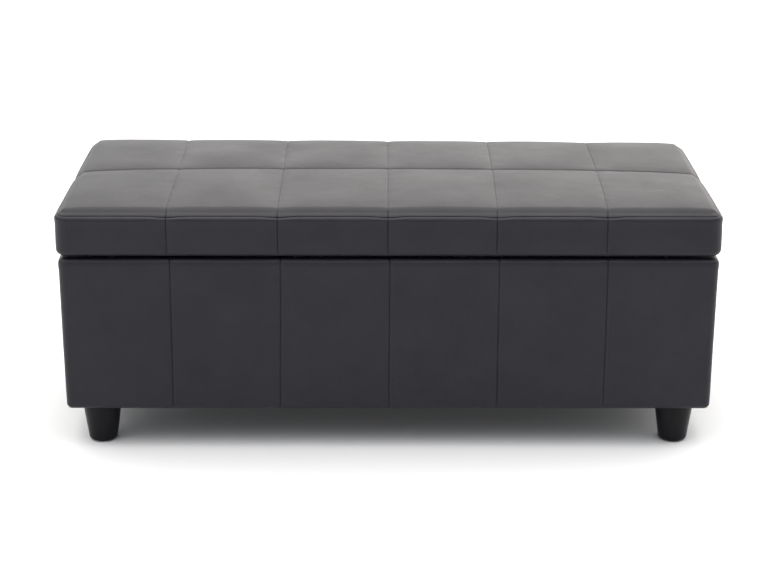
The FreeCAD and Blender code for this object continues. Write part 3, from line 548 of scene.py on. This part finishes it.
def base_relief(points, ways, level, out, up):
    """Height of the leather over the plain sleeve."""
    x, y = points[:, 0], points[:, 1]
    outside = max(out, 0) ** 0.5
    on_end = np.abs(ways[:, 0]) > np.abs(ways[:, 1])
    crosswise = nearest_offset(x, SEAMS_X)
    lengthwise = nearest_offset(y, SEAMS_Y)
    seam = np.where(on_end, lengthwise, crosswise)
    panel = np.where(on_end, along_panel(y, SEAMS_Y, BASE_HALF[1]),
                     along_panel(x, SEAMS_X, BASE_HALF[0]))
    down = min(max((BASE_HIGH - level) / (BASE_HIGH - BASE_LOW), 0), 1)
    lean = BASE_NARROWING * down ** 1.2
    roll = RIM_ROLL * bulge(level, BASE_HIGH - 14 * MM, 9 * MM)
    between_edges = min(1, down * 9) * min(1, (1 - down) * 7)
    puff = BASE_PUFF * (1 - np.abs(panel) ** 2.8) * between_edges
    plain = outside * (puff + roll - lean + creases(points, 23))
    seams = plain_seam(seam) + topstitch(seam) + puckers(points, seam, 29)

    # Inside and on top of the rim the leather is pressed flat, so only its seams show.
    if out <= 0.01:
        seams = np.minimum(0.5 * seams, 0)
    return plain + (seams if up >= 0 else outside * seams)


def make_base_leather(material):
    """The base's four covers and their padding as one padded sleeve, hollow for the panels."""
    cores, ways = outline_columns()
    rows = [base_skin(cores, ways, *row) for row in sleeve_profile()]
    count = len(cores)
    points = np.concatenate(rows)
    faces = []
    for row in range(len(rows)):
        above = (row + 1) % len(rows)
        for column in range(count):
            beside = (column + 1) % count
            faces.append([row * count + column, row * count + beside,
                          above * count + beside, above * count + column])
    leather = add_mesh("base_leather", points, faces, material, "base")
    weld(leather)
    sides = ("front", "back", "left_end", "right_end")
    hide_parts(*(f"{side}_cover" for side in sides), *(f"{side}_padding" for side in sides))


def weld(piece):
    """Joins points that fall together, and drops the faces that vanish with them."""
    work = bmesh.new()
    work.from_mesh(piece.data)
    bmesh.ops.remove_doubles(work, verts=work.verts, dist=WELD_DISTANCE)
    bmesh.ops.dissolve_degenerate(work, dist=WELD_DISTANCE, edges=work.edges)
    work.to_mesh(piece.data)
    work.free()


# ------------------------------------------------------------------------------------------
# Stitches

# Along one stitch: places as shares of its length, then thickness and height there, both as
# shares of its radius.
STITCH_STATIONS = np.array([0, 0.16, 0.5, 0.84, 1])
STITCH_SWELL = (0.25, 0.9, 1.0, 0.9, 0.25)
STITCH_LIFT = (-0.45, 0.1, 0.45, 0.1, -0.45)


def add_stitch(vertices, faces, middle, out):
    """One thread: rings of points round its middle line, closed at both ends."""
    side = np.cross(middle[-1] - middle[0], out)
    side = side / np.linalg.norm(side)
    first = len(vertices)
    for station, (place, size, height) in enumerate(zip(middle, STITCH_SWELL, STITCH_LIFT)):
        for turn in np.arange(STITCH_SIDES) * math.tau / STITCH_SIDES:
            spoke = side * math.cos(turn) + out * math.sin(turn)
            vertices.append(place + (spoke * size + out * height) * STITCH_RADIUS)
        if station:
            ring = first + station * STITCH_SIDES
            for turn in range(STITCH_SIDES):
                beside = (turn + 1) % STITCH_SIDES
                faces.append([ring - STITCH_SIDES + turn, ring - STITCH_SIDES + beside,
                              ring + beside, ring + turn])
    faces.append([first + turn for turn in reversed(range(STITCH_SIDES))])
    faces.append([len(vertices) - STITCH_SIDES + turn for turn in range(STITCH_SIDES)])


def stitch_run(points, ways):
    """Vertices and faces of small rounded threads laid end to end along a line of points."""
    lengths = np.linalg.norm(np.diff(points, axis=0), axis=1)
    travel = np.concatenate([[0], np.cumsum(lengths)])
    vertices = []
    faces = []
    for start in np.arange(STITCH_PITCH / 2, travel[-1] - STITCH_LENGTH, STITCH_PITCH):
        stations = start + STITCH_STATIONS * STITCH_LENGTH
        middle = [np.array([np.interp(s, travel, points[:, a]) for a in range(3)]) for s in stations]
        out = np.array([np.interp(stations[2], travel, ways[:, a]) for a in range(3)])
        add_stitch(vertices, faces, middle, out / np.linalg.norm(out))
    return vertices, faces


def add_stitching(name, runs, material, body):
    """One piece of thread that follows several runs of points and outward ways."""
    vertices = []
    faces = []
    for points, ways in runs:
        new_vertices, new_faces = stitch_run(points, ways)
        faces += [[index + len(vertices) for index in face] for face in new_faces]
        vertices += new_vertices
    threads = add_mesh(name, vertices, faces, material, body)


def border_levels():
    """Levels up the lid's side, from its lower rounding to the top."""
    return np.linspace(LID_LOW + LID_BOTTOM_RADIUS * 0.6, LID_HIGH, 90)


def lid_crosswise_run(seam):
    """Up the front border beside one seam, across the top and down the back."""
    x = seam + STITCH_OFFSET
    half = LID_HALF[1]
    across = np.linspace(-half, half, 500)
    sharp = [(x, -half, z) for z in border_levels()]
    sharp += [(x, y, LID_HIGH) for y in across[1:-1]]
    sharp += [(x, half, z) for z in border_levels()[::-1]]
    return lid_skin(np.array(sharp))


def lid_lengthwise_run():
    """Up one end beside the long seam, along the top and down the other end."""
    y = STITCH_OFFSET
    half = LID_HALF[0]
    along = np.linspace(-half, half, 1200)
    sharp = [(-half, y, z) for z in border_levels()]
    sharp += [(x, y, LID_HIGH) for x in along[1:-1]]
    sharp += [(half, y, z) for z in border_levels()[::-1]]
    return lid_skin(np.array(sharp))


def base_run(core, way):
    """Up the outside of the base beside one seam and over its rim."""
    points = []
    ways = []
    for inset, level, out, up in sleeve_profile():
        if out > 0:
            points.append(base_skin(np.array([core]), np.array([way]), inset, level, out, up)[0])
            ways.append((way[0] * out, way[1] * out, up))
    return np.array(points), np.array(ways)


def make_stitching(material):
    """Rows of stitches beside the lid's seams, and beside every upright seam of the base."""
    lid_runs = [lid_crosswise_run(seam) for seam in SEAMS_X]
    lid_runs.append(lid_lengthwise_run())
    base_runs = []
    limit_x, limit_y = BASE_HALF[0] - BASE_CORNER, BASE_HALF[1] - BASE_CORNER
    for side in (-1, 1):
        for seam in SEAMS_X:
            base_runs.append(base_run((seam + STITCH_OFFSET, side * limit_y), (0, side)))
        for seam in SEAMS_Y:
            base_runs.append(base_run((side * limit_x, seam + STITCH_OFFSET), (side, 0)))
    add_stitching("lid_stitching", lid_runs, material, "lid")
    add_stitching("base_stitching", base_runs, material, "base")


# ------------------------------------------------------------------------------------------
# Linings and dust cover

def grid_points(half_x, half_y, level, step):
    """Even rows and columns over a rectangle, with their faces."""
    count_x = max(2, round(2 * half_x / step))
    count_y = max(2, round(2 * half_y / step))
    xs = np.linspace(-half_x, half_x, count_x + 1)
    ys = np.linspace(-half_y, half_y, count_y + 1)
    points = np.array([(x, y, level) for y in ys for x in xs])
    wide = count_x + 1
    faces = [[r * wide + c, r * wide + c + 1, (r + 1) * wide + c + 1, (r + 1) * wide + c]
             for r in range(count_y) for c in range(count_x)]
    return points, faces


def edge_fade(points, half_x, half_y, margin):
    """0 at the rectangle's edge, rising to 1 once margin inside it."""
    inside = np.minimum(half_x - np.abs(points[:, 0]), half_y - np.abs(points[:, 1]))
    return smooth(inside, 0, margin)


def thicken(piece, thickness):
    """Gives a cloth its thickness, behind the face that shows."""
    solid = piece.modifiers.new("cloth_thickness", "SOLIDIFY")
    solid.thickness = thickness
    solid.offset = -1


def flat_cloth(name, node_low, node_high, material, body, down, wave, margin):
    """A cloth over a rectangle whose shown face looks up, or down, and waves a little."""
    half_x, half_y = float(node_high[0]), float(node_high[1])
    thickness = float(node_high[2] - node_low[2])
    level = float(node_low[2]) if down else float(node_high[2])
    points, faces = grid_points(half_x, half_y, level, 12 * MM)
    uneven = 0.5 + 0.35 * noise(points, 210 * MM, 41) + 0.15 * noise(points, 70 * MM, 43)
    rise = wave * edge_fade(points, half_x, half_y, margin) * uneven
    points[:, 2] += -rise if down else rise
    if down:
        faces = [face[::-1] for face in faces]
    cloth = add_mesh(name, points, faces, material, body)
    thicken(cloth, thickness)
    return cloth


def make_floor_lining(material):
    """The cloth on the floor of the compartment."""
    cloth = flat_cloth("floor_lining_cloth", lined_low, lined_high, material, "base",
                       down=False, wave=0.5 * MM, margin=60 * MM)
    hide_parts("floor_lining")


def make_lid_lining(material):
    """The cloth under the lid board."""
    cloth = flat_cloth("lid_lining_cloth", window_low, window_high, material, "lid",
                       down=True, wave=1.0 * MM, margin=190 * MM)
    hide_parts("lid_underside_lining")


def make_dust_cover(material):
    """The cloth that closes the base underneath."""
    cloth = flat_cloth("dust_cover_cloth", dust_low, dust_high, material, "base",
                       down=True, wave=3.0 * MM, margin=170 * MM)
    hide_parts("dust_cover")


def make_wall_lining(material):
    """A band of cloth round the four inner walls, its shown face towards the compartment."""
    thickness = float(wall_lining_high[1] - lined_high[1])
    half_x = float(wall_lining_high[0]) - thickness
    half_y = float(wall_lining_high[1]) - thickness
    low, high = float(wall_lining_low[2]), float(wall_lining_high[2])
    along_x = np.linspace(-half_x, half_x, 99)
    along_y = np.linspace(-half_y, half_y, 41)
    ring = [(x, -half_y) for x in along_x[:-1]]
    ring += [(half_x, y) for y in along_y[:-1]]
    ring += [(x, half_y) for x in along_x[:0:-1]]
    ring += [(-half_x, y) for y in along_y[:0:-1]]
    levels = np.linspace(low, high, 20)
    points = np.array([(x, y, z) for z in levels for x, y in ring])
    count = len(ring)
    faces = [[r * count + c, (r + 1) * count + c, (r + 1) * count + (c + 1) % count,
              r * count + (c + 1) % count] for r in range(len(levels) - 1) for c in range(count)]
    cloth = add_mesh("wall_lining_cloth", points, faces, material, "base")
    thicken(cloth, thickness)
    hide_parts("wall_lining")


# ------------------------------------------------------------------------------------------
# Materials

# Where most values of a noise texture lie.
NOISE_RANGE = (0.3, 0.7)

# Sockets of a Mix node that mixes colours: share, first and second colour, and result.
MIX_SHARE, MIX_FIRST, MIX_SECOND, MIX_RESULT = 0, 6, 7, 2

# Charcoal leather, and how far a rubbed edge turns outwards, as a shader's pointiness.
LEATHER_DARK = (0.0077, 0.0072, 0.0115)
LEATHER_LIGHT = (0.0107, 0.0102, 0.0152)
LEATHER_RUBBED = (0.022, 0.021, 0.025)
RUBBED_EDGES = (0.515, 0.58)


def new_material(name):
    """A material with its node tree and its shader node."""
    material = bpy.data.materials.new(name)
    material.use_nodes = True
    tree = material.node_tree
    return material, tree, tree.nodes["Principled BSDF"]


def set_inputs(tree, node, **inputs):
    """Links each named input to a socket, or sets its value. Spaces are written as _."""
    for key, value in inputs.items():
        socket = node.inputs[key.replace("_", " ")]
        if isinstance(value, bpy.types.NodeSocket):
            tree.links.new(value, socket)
        else:
            socket.default_value = value


def add_node(tree, kind, settings=None, **inputs):
    """A shader node with its properties and inputs set."""
    made = tree.nodes.new(kind)
    for key, value in (settings or {}).items():
        setattr(made, key, value)
    set_inputs(tree, made, **inputs)
    return made


def place_of(tree, scale=(1, 1, 1)):
    """The model's own coordinates, stretched by scale."""
    source = add_node(tree, "ShaderNodeTexCoord").outputs["Object"]
    return add_node(tree, "ShaderNodeMapping", Vector=source, Scale=scale).outputs["Vector"]


def noise_value(tree, vector, scale, detail=3.0, roughness=0.55, distortion=0.0):
    """A noise texture's value, with about scale bumps to the metre."""
    return add_node(tree, "ShaderNodeTexNoise", Vector=vector, Scale=scale, Detail=detail,
                    Roughness=roughness, Distortion=distortion).outputs["Fac"]


def spread(tree, value, between, onto):
    """A value that crosses onto evenly while the given one crosses between."""
    ranged = add_node(tree, "ShaderNodeMapRange", Value=value, From_Min=between[0],
                      From_Max=between[1], To_Min=onto[0], To_Max=onto[1])
    return ranged.outputs["Result"]


def ramp(tree, value, *stops):
    """A colour ramp through (place, red, green, blue) stops."""
    made = add_node(tree, "ShaderNodeValToRGB", Fac=value)
    for element, (place, *colour) in zip(made.color_ramp.elements, stops):
        element.position = place
        element.color = (*colour, 1)
    return made.outputs["Color"]


def bump(tree, height, distance, strength=1.0, under=None):
    """Normals of a fine relief, distance metres high, on those of a coarser one under it."""
    made = add_node(tree, "ShaderNodeBump", Height=height, Distance=distance, Strength=strength)
    if under is not None:
        set_inputs(tree, made, Normal=under)
    return made.outputs["Normal"]


def combine(tree, first, second, operation="ADD"):
    """Two values or sockets joined by a sum, or by another operation."""
    made = tree.nodes.new("ShaderNodeMath")
    made.operation = operation
    for socket, value in zip(made.inputs, (first, second)):
        if isinstance(value, bpy.types.NodeSocket):
            tree.links.new(value, socket)
        else:
            socket.default_value = value
    return made.outputs["Value"]


def leather_colour(tree, place):
    """Charcoal with a faint mottle, a little lighter where edges are rubbed."""
    mottle = noise_value(tree, place, scale=14, detail=4)
    colour = ramp(tree, mottle, (0.3, *LEATHER_DARK), (0.7, *LEATHER_LIGHT))
    edges = add_node(tree, "ShaderNodeNewGeometry").outputs["Pointiness"]
    patchy = spread(tree, noise_value(tree, place, scale=45, detail=4), (0.35, 0.65), (0.2, 1.0))
    rubbed = combine(tree, spread(tree, edges, RUBBED_EDGES, (0.0, 0.5)), patchy, "MULTIPLY")
    blend = tree.nodes.new("ShaderNodeMix")
    blend.data_type = "RGBA"
    tree.links.new(rubbed, blend.inputs[MIX_SHARE])
    tree.links.new(colour, blend.inputs[MIX_FIRST])
    blend.inputs[MIX_SECOND].default_value = (*LEATHER_RUBBED, 1)
    return blend.outputs[MIX_RESULT]


def charcoal_leather():
    """Coated faux leather: pebbled grain over slow ripples, unevenly matt."""
    material, tree, shader = new_material("charcoal_leather_look")
    place = place_of(tree)
    pebbles = add_node(tree, "ShaderNodeTexVoronoi", {"feature": "SMOOTH_F1"}, Vector=place,
                       Scale=900.0, Smoothness=0.6).outputs["Distance"]
    wrinkle = noise_value(tree, place, scale=420, detail=5, roughness=0.6)
    grain = combine(tree, pebbles, wrinkle, "SUBTRACT")
    ripples = bump(tree, noise_value(tree, place, scale=60, detail=3), distance=0.0003)
    worn = spread(tree, noise_value(tree, place, scale=9, detail=4), NOISE_RANGE, (0.40, 0.48))
    fine = spread(tree, wrinkle, NOISE_RANGE, (-0.03, 0.03))
    set_inputs(tree, shader, Base_Color=leather_colour(tree, place),
               Roughness=combine(tree, worn, fine), Specular_IOR_Level=0.278,
               Normal=bump(tree, grain, distance=0.00022, under=ripples))
    return material


def thread():
    """Bonded thread with its twist."""
    material, tree, shader = new_material("stitch_thread")
    twist = noise_value(tree, place_of(tree), scale=2500, detail=2)
    set_inputs(tree, shader, Base_Color=(0.014, 0.0135, 0.017, 1), Roughness=0.5,
               Normal=bump(tree, twist, distance=0.0001))
    return material


def woven_cloth(name, dark, light, threads_per_metre, fuzz):
    """Plain woven cloth: threads over and under each other, with slubs and lint."""
    material, tree, shader = new_material(name)
    place = place_of(tree)
    waves = []
    for axis in ("X", "Y", "Z"):
        waves.append(add_node(tree, "ShaderNodeTexWave", {"bands_direction": axis}, Vector=place,
                              Scale=threads_per_metre, Distortion=0.6, Detail=1.0).outputs["Fac"])
    weave = combine(tree, combine(tree, waves[0], waves[1], "MULTIPLY"), waves[2])
    lint = noise_value(tree, place, scale=700, detail=5, roughness=0.7)
    fluff = spread(tree, lint, (0.3, 0.75), (0, 0.7))
    tone = combine(tree, fluff, spread(tree, weave, (0, 2), (0, 0.3)))
    wavy = noise_value(tree, place, scale=22, detail=4, roughness=0.5, distortion=0.6)
    creased = bump(tree, wavy, distance=0.0012)
    set_inputs(tree, shader, Base_Color=ramp(tree, tone, (0.1, *dark), (0.9, *light)),
               Roughness=0.9, Specular_IOR_Level=0.25, Sheen_Weight=fuzz, Sheen_Roughness=0.5,
               Normal=bump(tree, weave, distance=0.0002, strength=0.7, under=creased))
    return material


def wood(name, dark, light, stretch, ring_scale):
    """Straight-grained wood: growth rings drawn out along the grain, and open pores."""
    material, tree, shader = new_material(name)
    place = place_of(tree, stretch)
    rings = add_node(tree, "ShaderNodeTexWave", {"bands_direction": "DIAGONAL"}, Vector=place,
                     Scale=ring_scale, Distortion=4.0, Detail=3.0).outputs["Fac"]
    pores = noise_value(tree, place, scale=ring_scale * 14, detail=4, roughness=0.7)
    ring_tone = spread(tree, rings, (0, 1), (0, 0.65))
    tone = combine(tree, ring_tone, spread(tree, pores, NOISE_RANGE, (0, 0.35)))
    set_inputs(tree, shader, Base_Color=ramp(tree, tone, (0.1, *dark), (0.9, *light)),
               Roughness=spread(tree, pores, NOISE_RANGE, (0.65, 0.75)),
               Normal=bump(tree, tone, distance=0.0003, strength=0.5))
    return material


def fibre_board():
    """Flat board of pressed flakes and fibres."""
    material, tree, shader = new_material("panel_board_look")
    place = place_of(tree)
    flakes = add_node(tree, "ShaderNodeTexVoronoi", Vector=place, Scale=260.0).outputs["Color"]
    shade = add_node(tree, "ShaderNodeSeparateColor", Color=flakes).outputs["Red"]
    speck = noise_value(tree, place, scale=900, detail=4, roughness=0.7)
    flake_tone = spread(tree, shade, (0, 1), (0, 0.6))
    tone = combine(tree, flake_tone, spread(tree, speck, NOISE_RANGE, (0, 0.4)))
    colour = ramp(tree, tone, (0.1, 0.33, 0.235, 0.145), (0.9, 0.58, 0.45, 0.31))
    set_inputs(tree, shader, Base_Color=colour, Roughness=0.8,
               Normal=bump(tree, tone, distance=0.0003, strength=0.6))
    return material


def stained_feet():
    """Turned wood under a black satin lacquer, its grain only just raised."""
    material, tree, shader = new_material("black_stained_wood_look")
    grain = noise_value(tree, place_of(tree, (1, 1, 0.12)), scale=260, detail=5, roughness=0.6)
    colour = ramp(tree, grain, (0.3, 0.0040, 0.0038, 0.0052), (0.7, 0.0070, 0.0066, 0.0085))
    smears = noise_value(tree, place_of(tree), scale=35, detail=3)
    set_inputs(tree, shader, Base_Color=colour, Specular_IOR_Level=0.14,
               Roughness=spread(tree, smears, NOISE_RANGE, (0.30, 0.38)),
               Normal=bump(tree, grain, distance=0.00025, strength=0.5))
    return material


def metal(name, dark, light, roughness, metallic=1.0):
    """Pressed or turned steel with drawn scratches and handling marks."""
    material, tree, shader = new_material(name)
    brushed = noise_value(tree, place_of(tree, (1, 1, 14)), scale=500, detail=3, roughness=0.6)
    clouds = noise_value(tree, place_of(tree), scale=90, detail=4, roughness=0.6)
    scratched = spread(tree, brushed, NOISE_RANGE, (roughness - 0.06, roughness + 0.06))
    handled = spread(tree, clouds, NOISE_RANGE, (-0.05, 0.05))
    set_inputs(tree, shader, Base_Color=ramp(tree, clouds, (0.3, *dark), (0.7, *light)),
               Roughness=combine(tree, scratched, handled), Metallic=metallic,
               Normal=bump(tree, brushed, distance=0.00006, strength=0.5))
    return material


def moulded(name, colour, roughness):
    """Moulded plastic or rubber with a fine matt texture."""
    material, tree, shader = new_material(name)
    specks = noise_value(tree, place_of(tree), scale=1400, detail=3, roughness=0.6)
    rough = spread(tree, specks, NOISE_RANGE, (roughness - 0.06, roughness + 0.06))
    set_inputs(tree, shader, Base_Color=(*colour, 1), Roughness=rough,
               Normal=bump(tree, specks, distance=0.00012, strength=0.6))
    return material


def foam():
    """Open-cell foam."""
    material, tree, shader = new_material("foam_look")
    cells = add_node(tree, "ShaderNodeTexVoronoi", Vector=place_of(tree), Scale=700.0)
    distance = cells.outputs["Distance"]
    colour = ramp(tree, distance, (0.1, 0.80, 0.75, 0.60), (0.8, 0.62, 0.56, 0.42))
    set_inputs(tree, shader, Base_Color=colour, Roughness=0.95,
               Normal=bump(tree, distance, distance=0.0006))
    return material


# ------------------------------------------------------------------------------------------
# Assembly

LOOKS = {
    "charcoal_leather": charcoal_leather(),
    "foam": foam(),
    "lining_cloth": woven_cloth("lining_cloth_look", (0.012, 0.012, 0.013), (0.045, 0.045, 0.047),
                                420.0, 0.15),
    "dust_cloth": woven_cloth("dust_cloth_look", (0.010, 0.010, 0.011), (0.035, 0.035, 0.036),
                              300.0, 0.08),
    "panel_board": fibre_board(),
    "softwood": wood("softwood_look", (0.46, 0.31, 0.17), (0.74, 0.57, 0.36), (0.15, 1, 1), 60.0),
    "plywood": wood("plywood_look", (0.42, 0.29, 0.16), (0.66, 0.50, 0.32), (0.12, 1, 1), 45.0),
    "black_stained_wood": stained_feet(),
    "glide_plastic": moulded("glide_plastic_look", (0.045, 0.045, 0.047), 0.55),
    "zinc_steel": metal("zinc_steel_look", (0.30, 0.30, 0.31), (0.42, 0.42, 0.43), 0.36),
    "black_steel": metal("black_steel_look", (0.022, 0.022, 0.024), (0.034, 0.034, 0.036), 0.42, 0.3),
    "bumper_rubber": moulded("bumper_rubber_look", (0.010, 0.010, 0.010), 0.8),
}


def dress_nodes():
    """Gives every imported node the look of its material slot."""
    for part in frame["record"]["subparts"]:
        node = frame["nodes"][part["node"]]
        node.data.materials.clear()
        node.data.materials.append(LOOKS[part["material_slot"]])


# ------------------------------------------------------------------------------------------
# Set, light and camera

# Camera: place in metres, turns in degrees, lens and sensor width in millimetres.
CAMERA_PLACE = (-0.0256, -4.0207, 1.5759)
CAMERA_YAW = 0.286
CAMERA_PITCH = 18.464
CAMERA_ROLL = 0.131
LENS = 100.87
SENSOR = 36.0



FLOOR_SIDE = 40.0
FLOOR_COLOUR = (0.66, 0.67, 0.685)

# The studio's brightness rises from DIM to BRIGHT as a way turns from the front to behind and
# overhead, and its light from cool to warm. More light comes from round the zenith.
TURN_RANGE = (-0.35, 0.8)
DIM, BRIGHT = 0.08, 2.45
COOL = (0.90, 0.93, 1.0)
WARM = (1.0, 0.972, 0.925)
ZENITH_RANGE = (0.70, 0.95)
ZENITH_LIGHT = 1.7


def make_floor():
    """A plain pale floor under the bench."""
    half = FLOOR_SIDE / 2
    mesh = bpy.data.meshes.new("floor")
    corners = [(-half, -half, 0), (half, -half, 0), (half, half, 0), (-half, half, 0)]
    mesh.from_pydata(corners, [], [(0, 1, 2, 3)])
    plane = bpy.data.objects.new("floor", mesh)
    bpy.context.scene.collection.objects.link(plane)
    material, tree, shader = new_material("floor_white")
    set_inputs(tree, shader, Base_Color=(*FLOOR_COLOUR, 1), Roughness=0.9, Specular_IOR_Level=0.0)
    mesh.materials.append(material)


def light_world():
    """A studio that is bright behind and overhead, and dim in front of the bench."""
    world = bpy.data.worlds.new("studio")
    world.use_nodes = True
    tree = world.node_tree
    toward = add_node(tree, "ShaderNodeTexCoord").outputs["Generated"]
    parts = add_node(tree, "ShaderNodeSeparateXYZ", Vector=toward)
    behind = combine(tree, parts.outputs["Y"], 0.5, "MULTIPLY")
    above = combine(tree, parts.outputs["Z"], 0.85, "MULTIPLY")
    askew = combine(tree, parts.outputs["X"], parts.outputs["Y"], "MULTIPLY")
    rightward = combine(tree, askew, 0.7, "MULTIPLY")
    turned = combine(tree, combine(tree, behind, above), rightward)
    glow = spread(tree, turned, TURN_RANGE, (DIM, BRIGHT))
    tint = ramp(tree, spread(tree, turned, TURN_RANGE, (0, 1)), (0, *COOL), (1, *WARM))
    overhead = spread(tree, parts.outputs["Z"], ZENITH_RANGE, (0.0, ZENITH_LIGHT))
    set_inputs(tree, tree.nodes["Background"], Color=tint, Strength=combine(tree, glow, overhead))
    bpy.context.scene.world = world


def add_softbox(name, place, aim, size, power):
    """A rectangular area light of some watts, aimed at a point."""
    light = bpy.data.lights.new(name, "AREA")
    light.shape = "RECTANGLE"
    light.size, light.size_y = size
    light.energy = power
    box = bpy.data.objects.new(name, light)
    box.location = place
    box.rotation_euler = (Vector(aim) - Vector(place)).to_track_quat("-Z", "Y").to_euler()
    bpy.context.scene.collection.objects.link(box)


def add_camera():
    """A long lens in front of the bench, looking a little down on it."""
    data = bpy.data.cameras.new("camera")
    data.sensor_width = SENSOR
    data.lens = LENS
    camera = bpy.data.objects.new("camera", data)
    turn = Matrix.Rotation(math.radians(-CAMERA_YAW), 4, "Z")
    tilt = Matrix.Rotation(math.radians(90 - CAMERA_PITCH), 4, "X")
    roll = Matrix.Rotation(math.radians(CAMERA_ROLL), 4, "Z")
    camera.matrix_world = Matrix.Translation(CAMERA_PLACE) @ turn @ tilt @ roll
    bpy.context.scene.collection.objects.link(camera)
    bpy.context.scene.camera = camera


dress_nodes()
make_lid_leather(LOOKS["charcoal_leather"])
make_base_leather(LOOKS["charcoal_leather"])
make_stitching(thread())
make_floor_lining(LOOKS["lining_cloth"])
make_wall_lining(LOOKS["lining_cloth"])
make_lid_lining(LOOKS["lining_cloth"])
make_dust_cover(LOOKS["dust_cloth"])

make_floor()
light_world()
add_softbox("key_softbox", place=(1.5, -2.4, 3.2), aim=(0.2, 0, 0.2), size=(2.4, 1.6), power=12)
add_camera()
bpy.context.scene.view_settings.view_transform = "Standard"
bpy.context.scene.view_settings.look = "None"
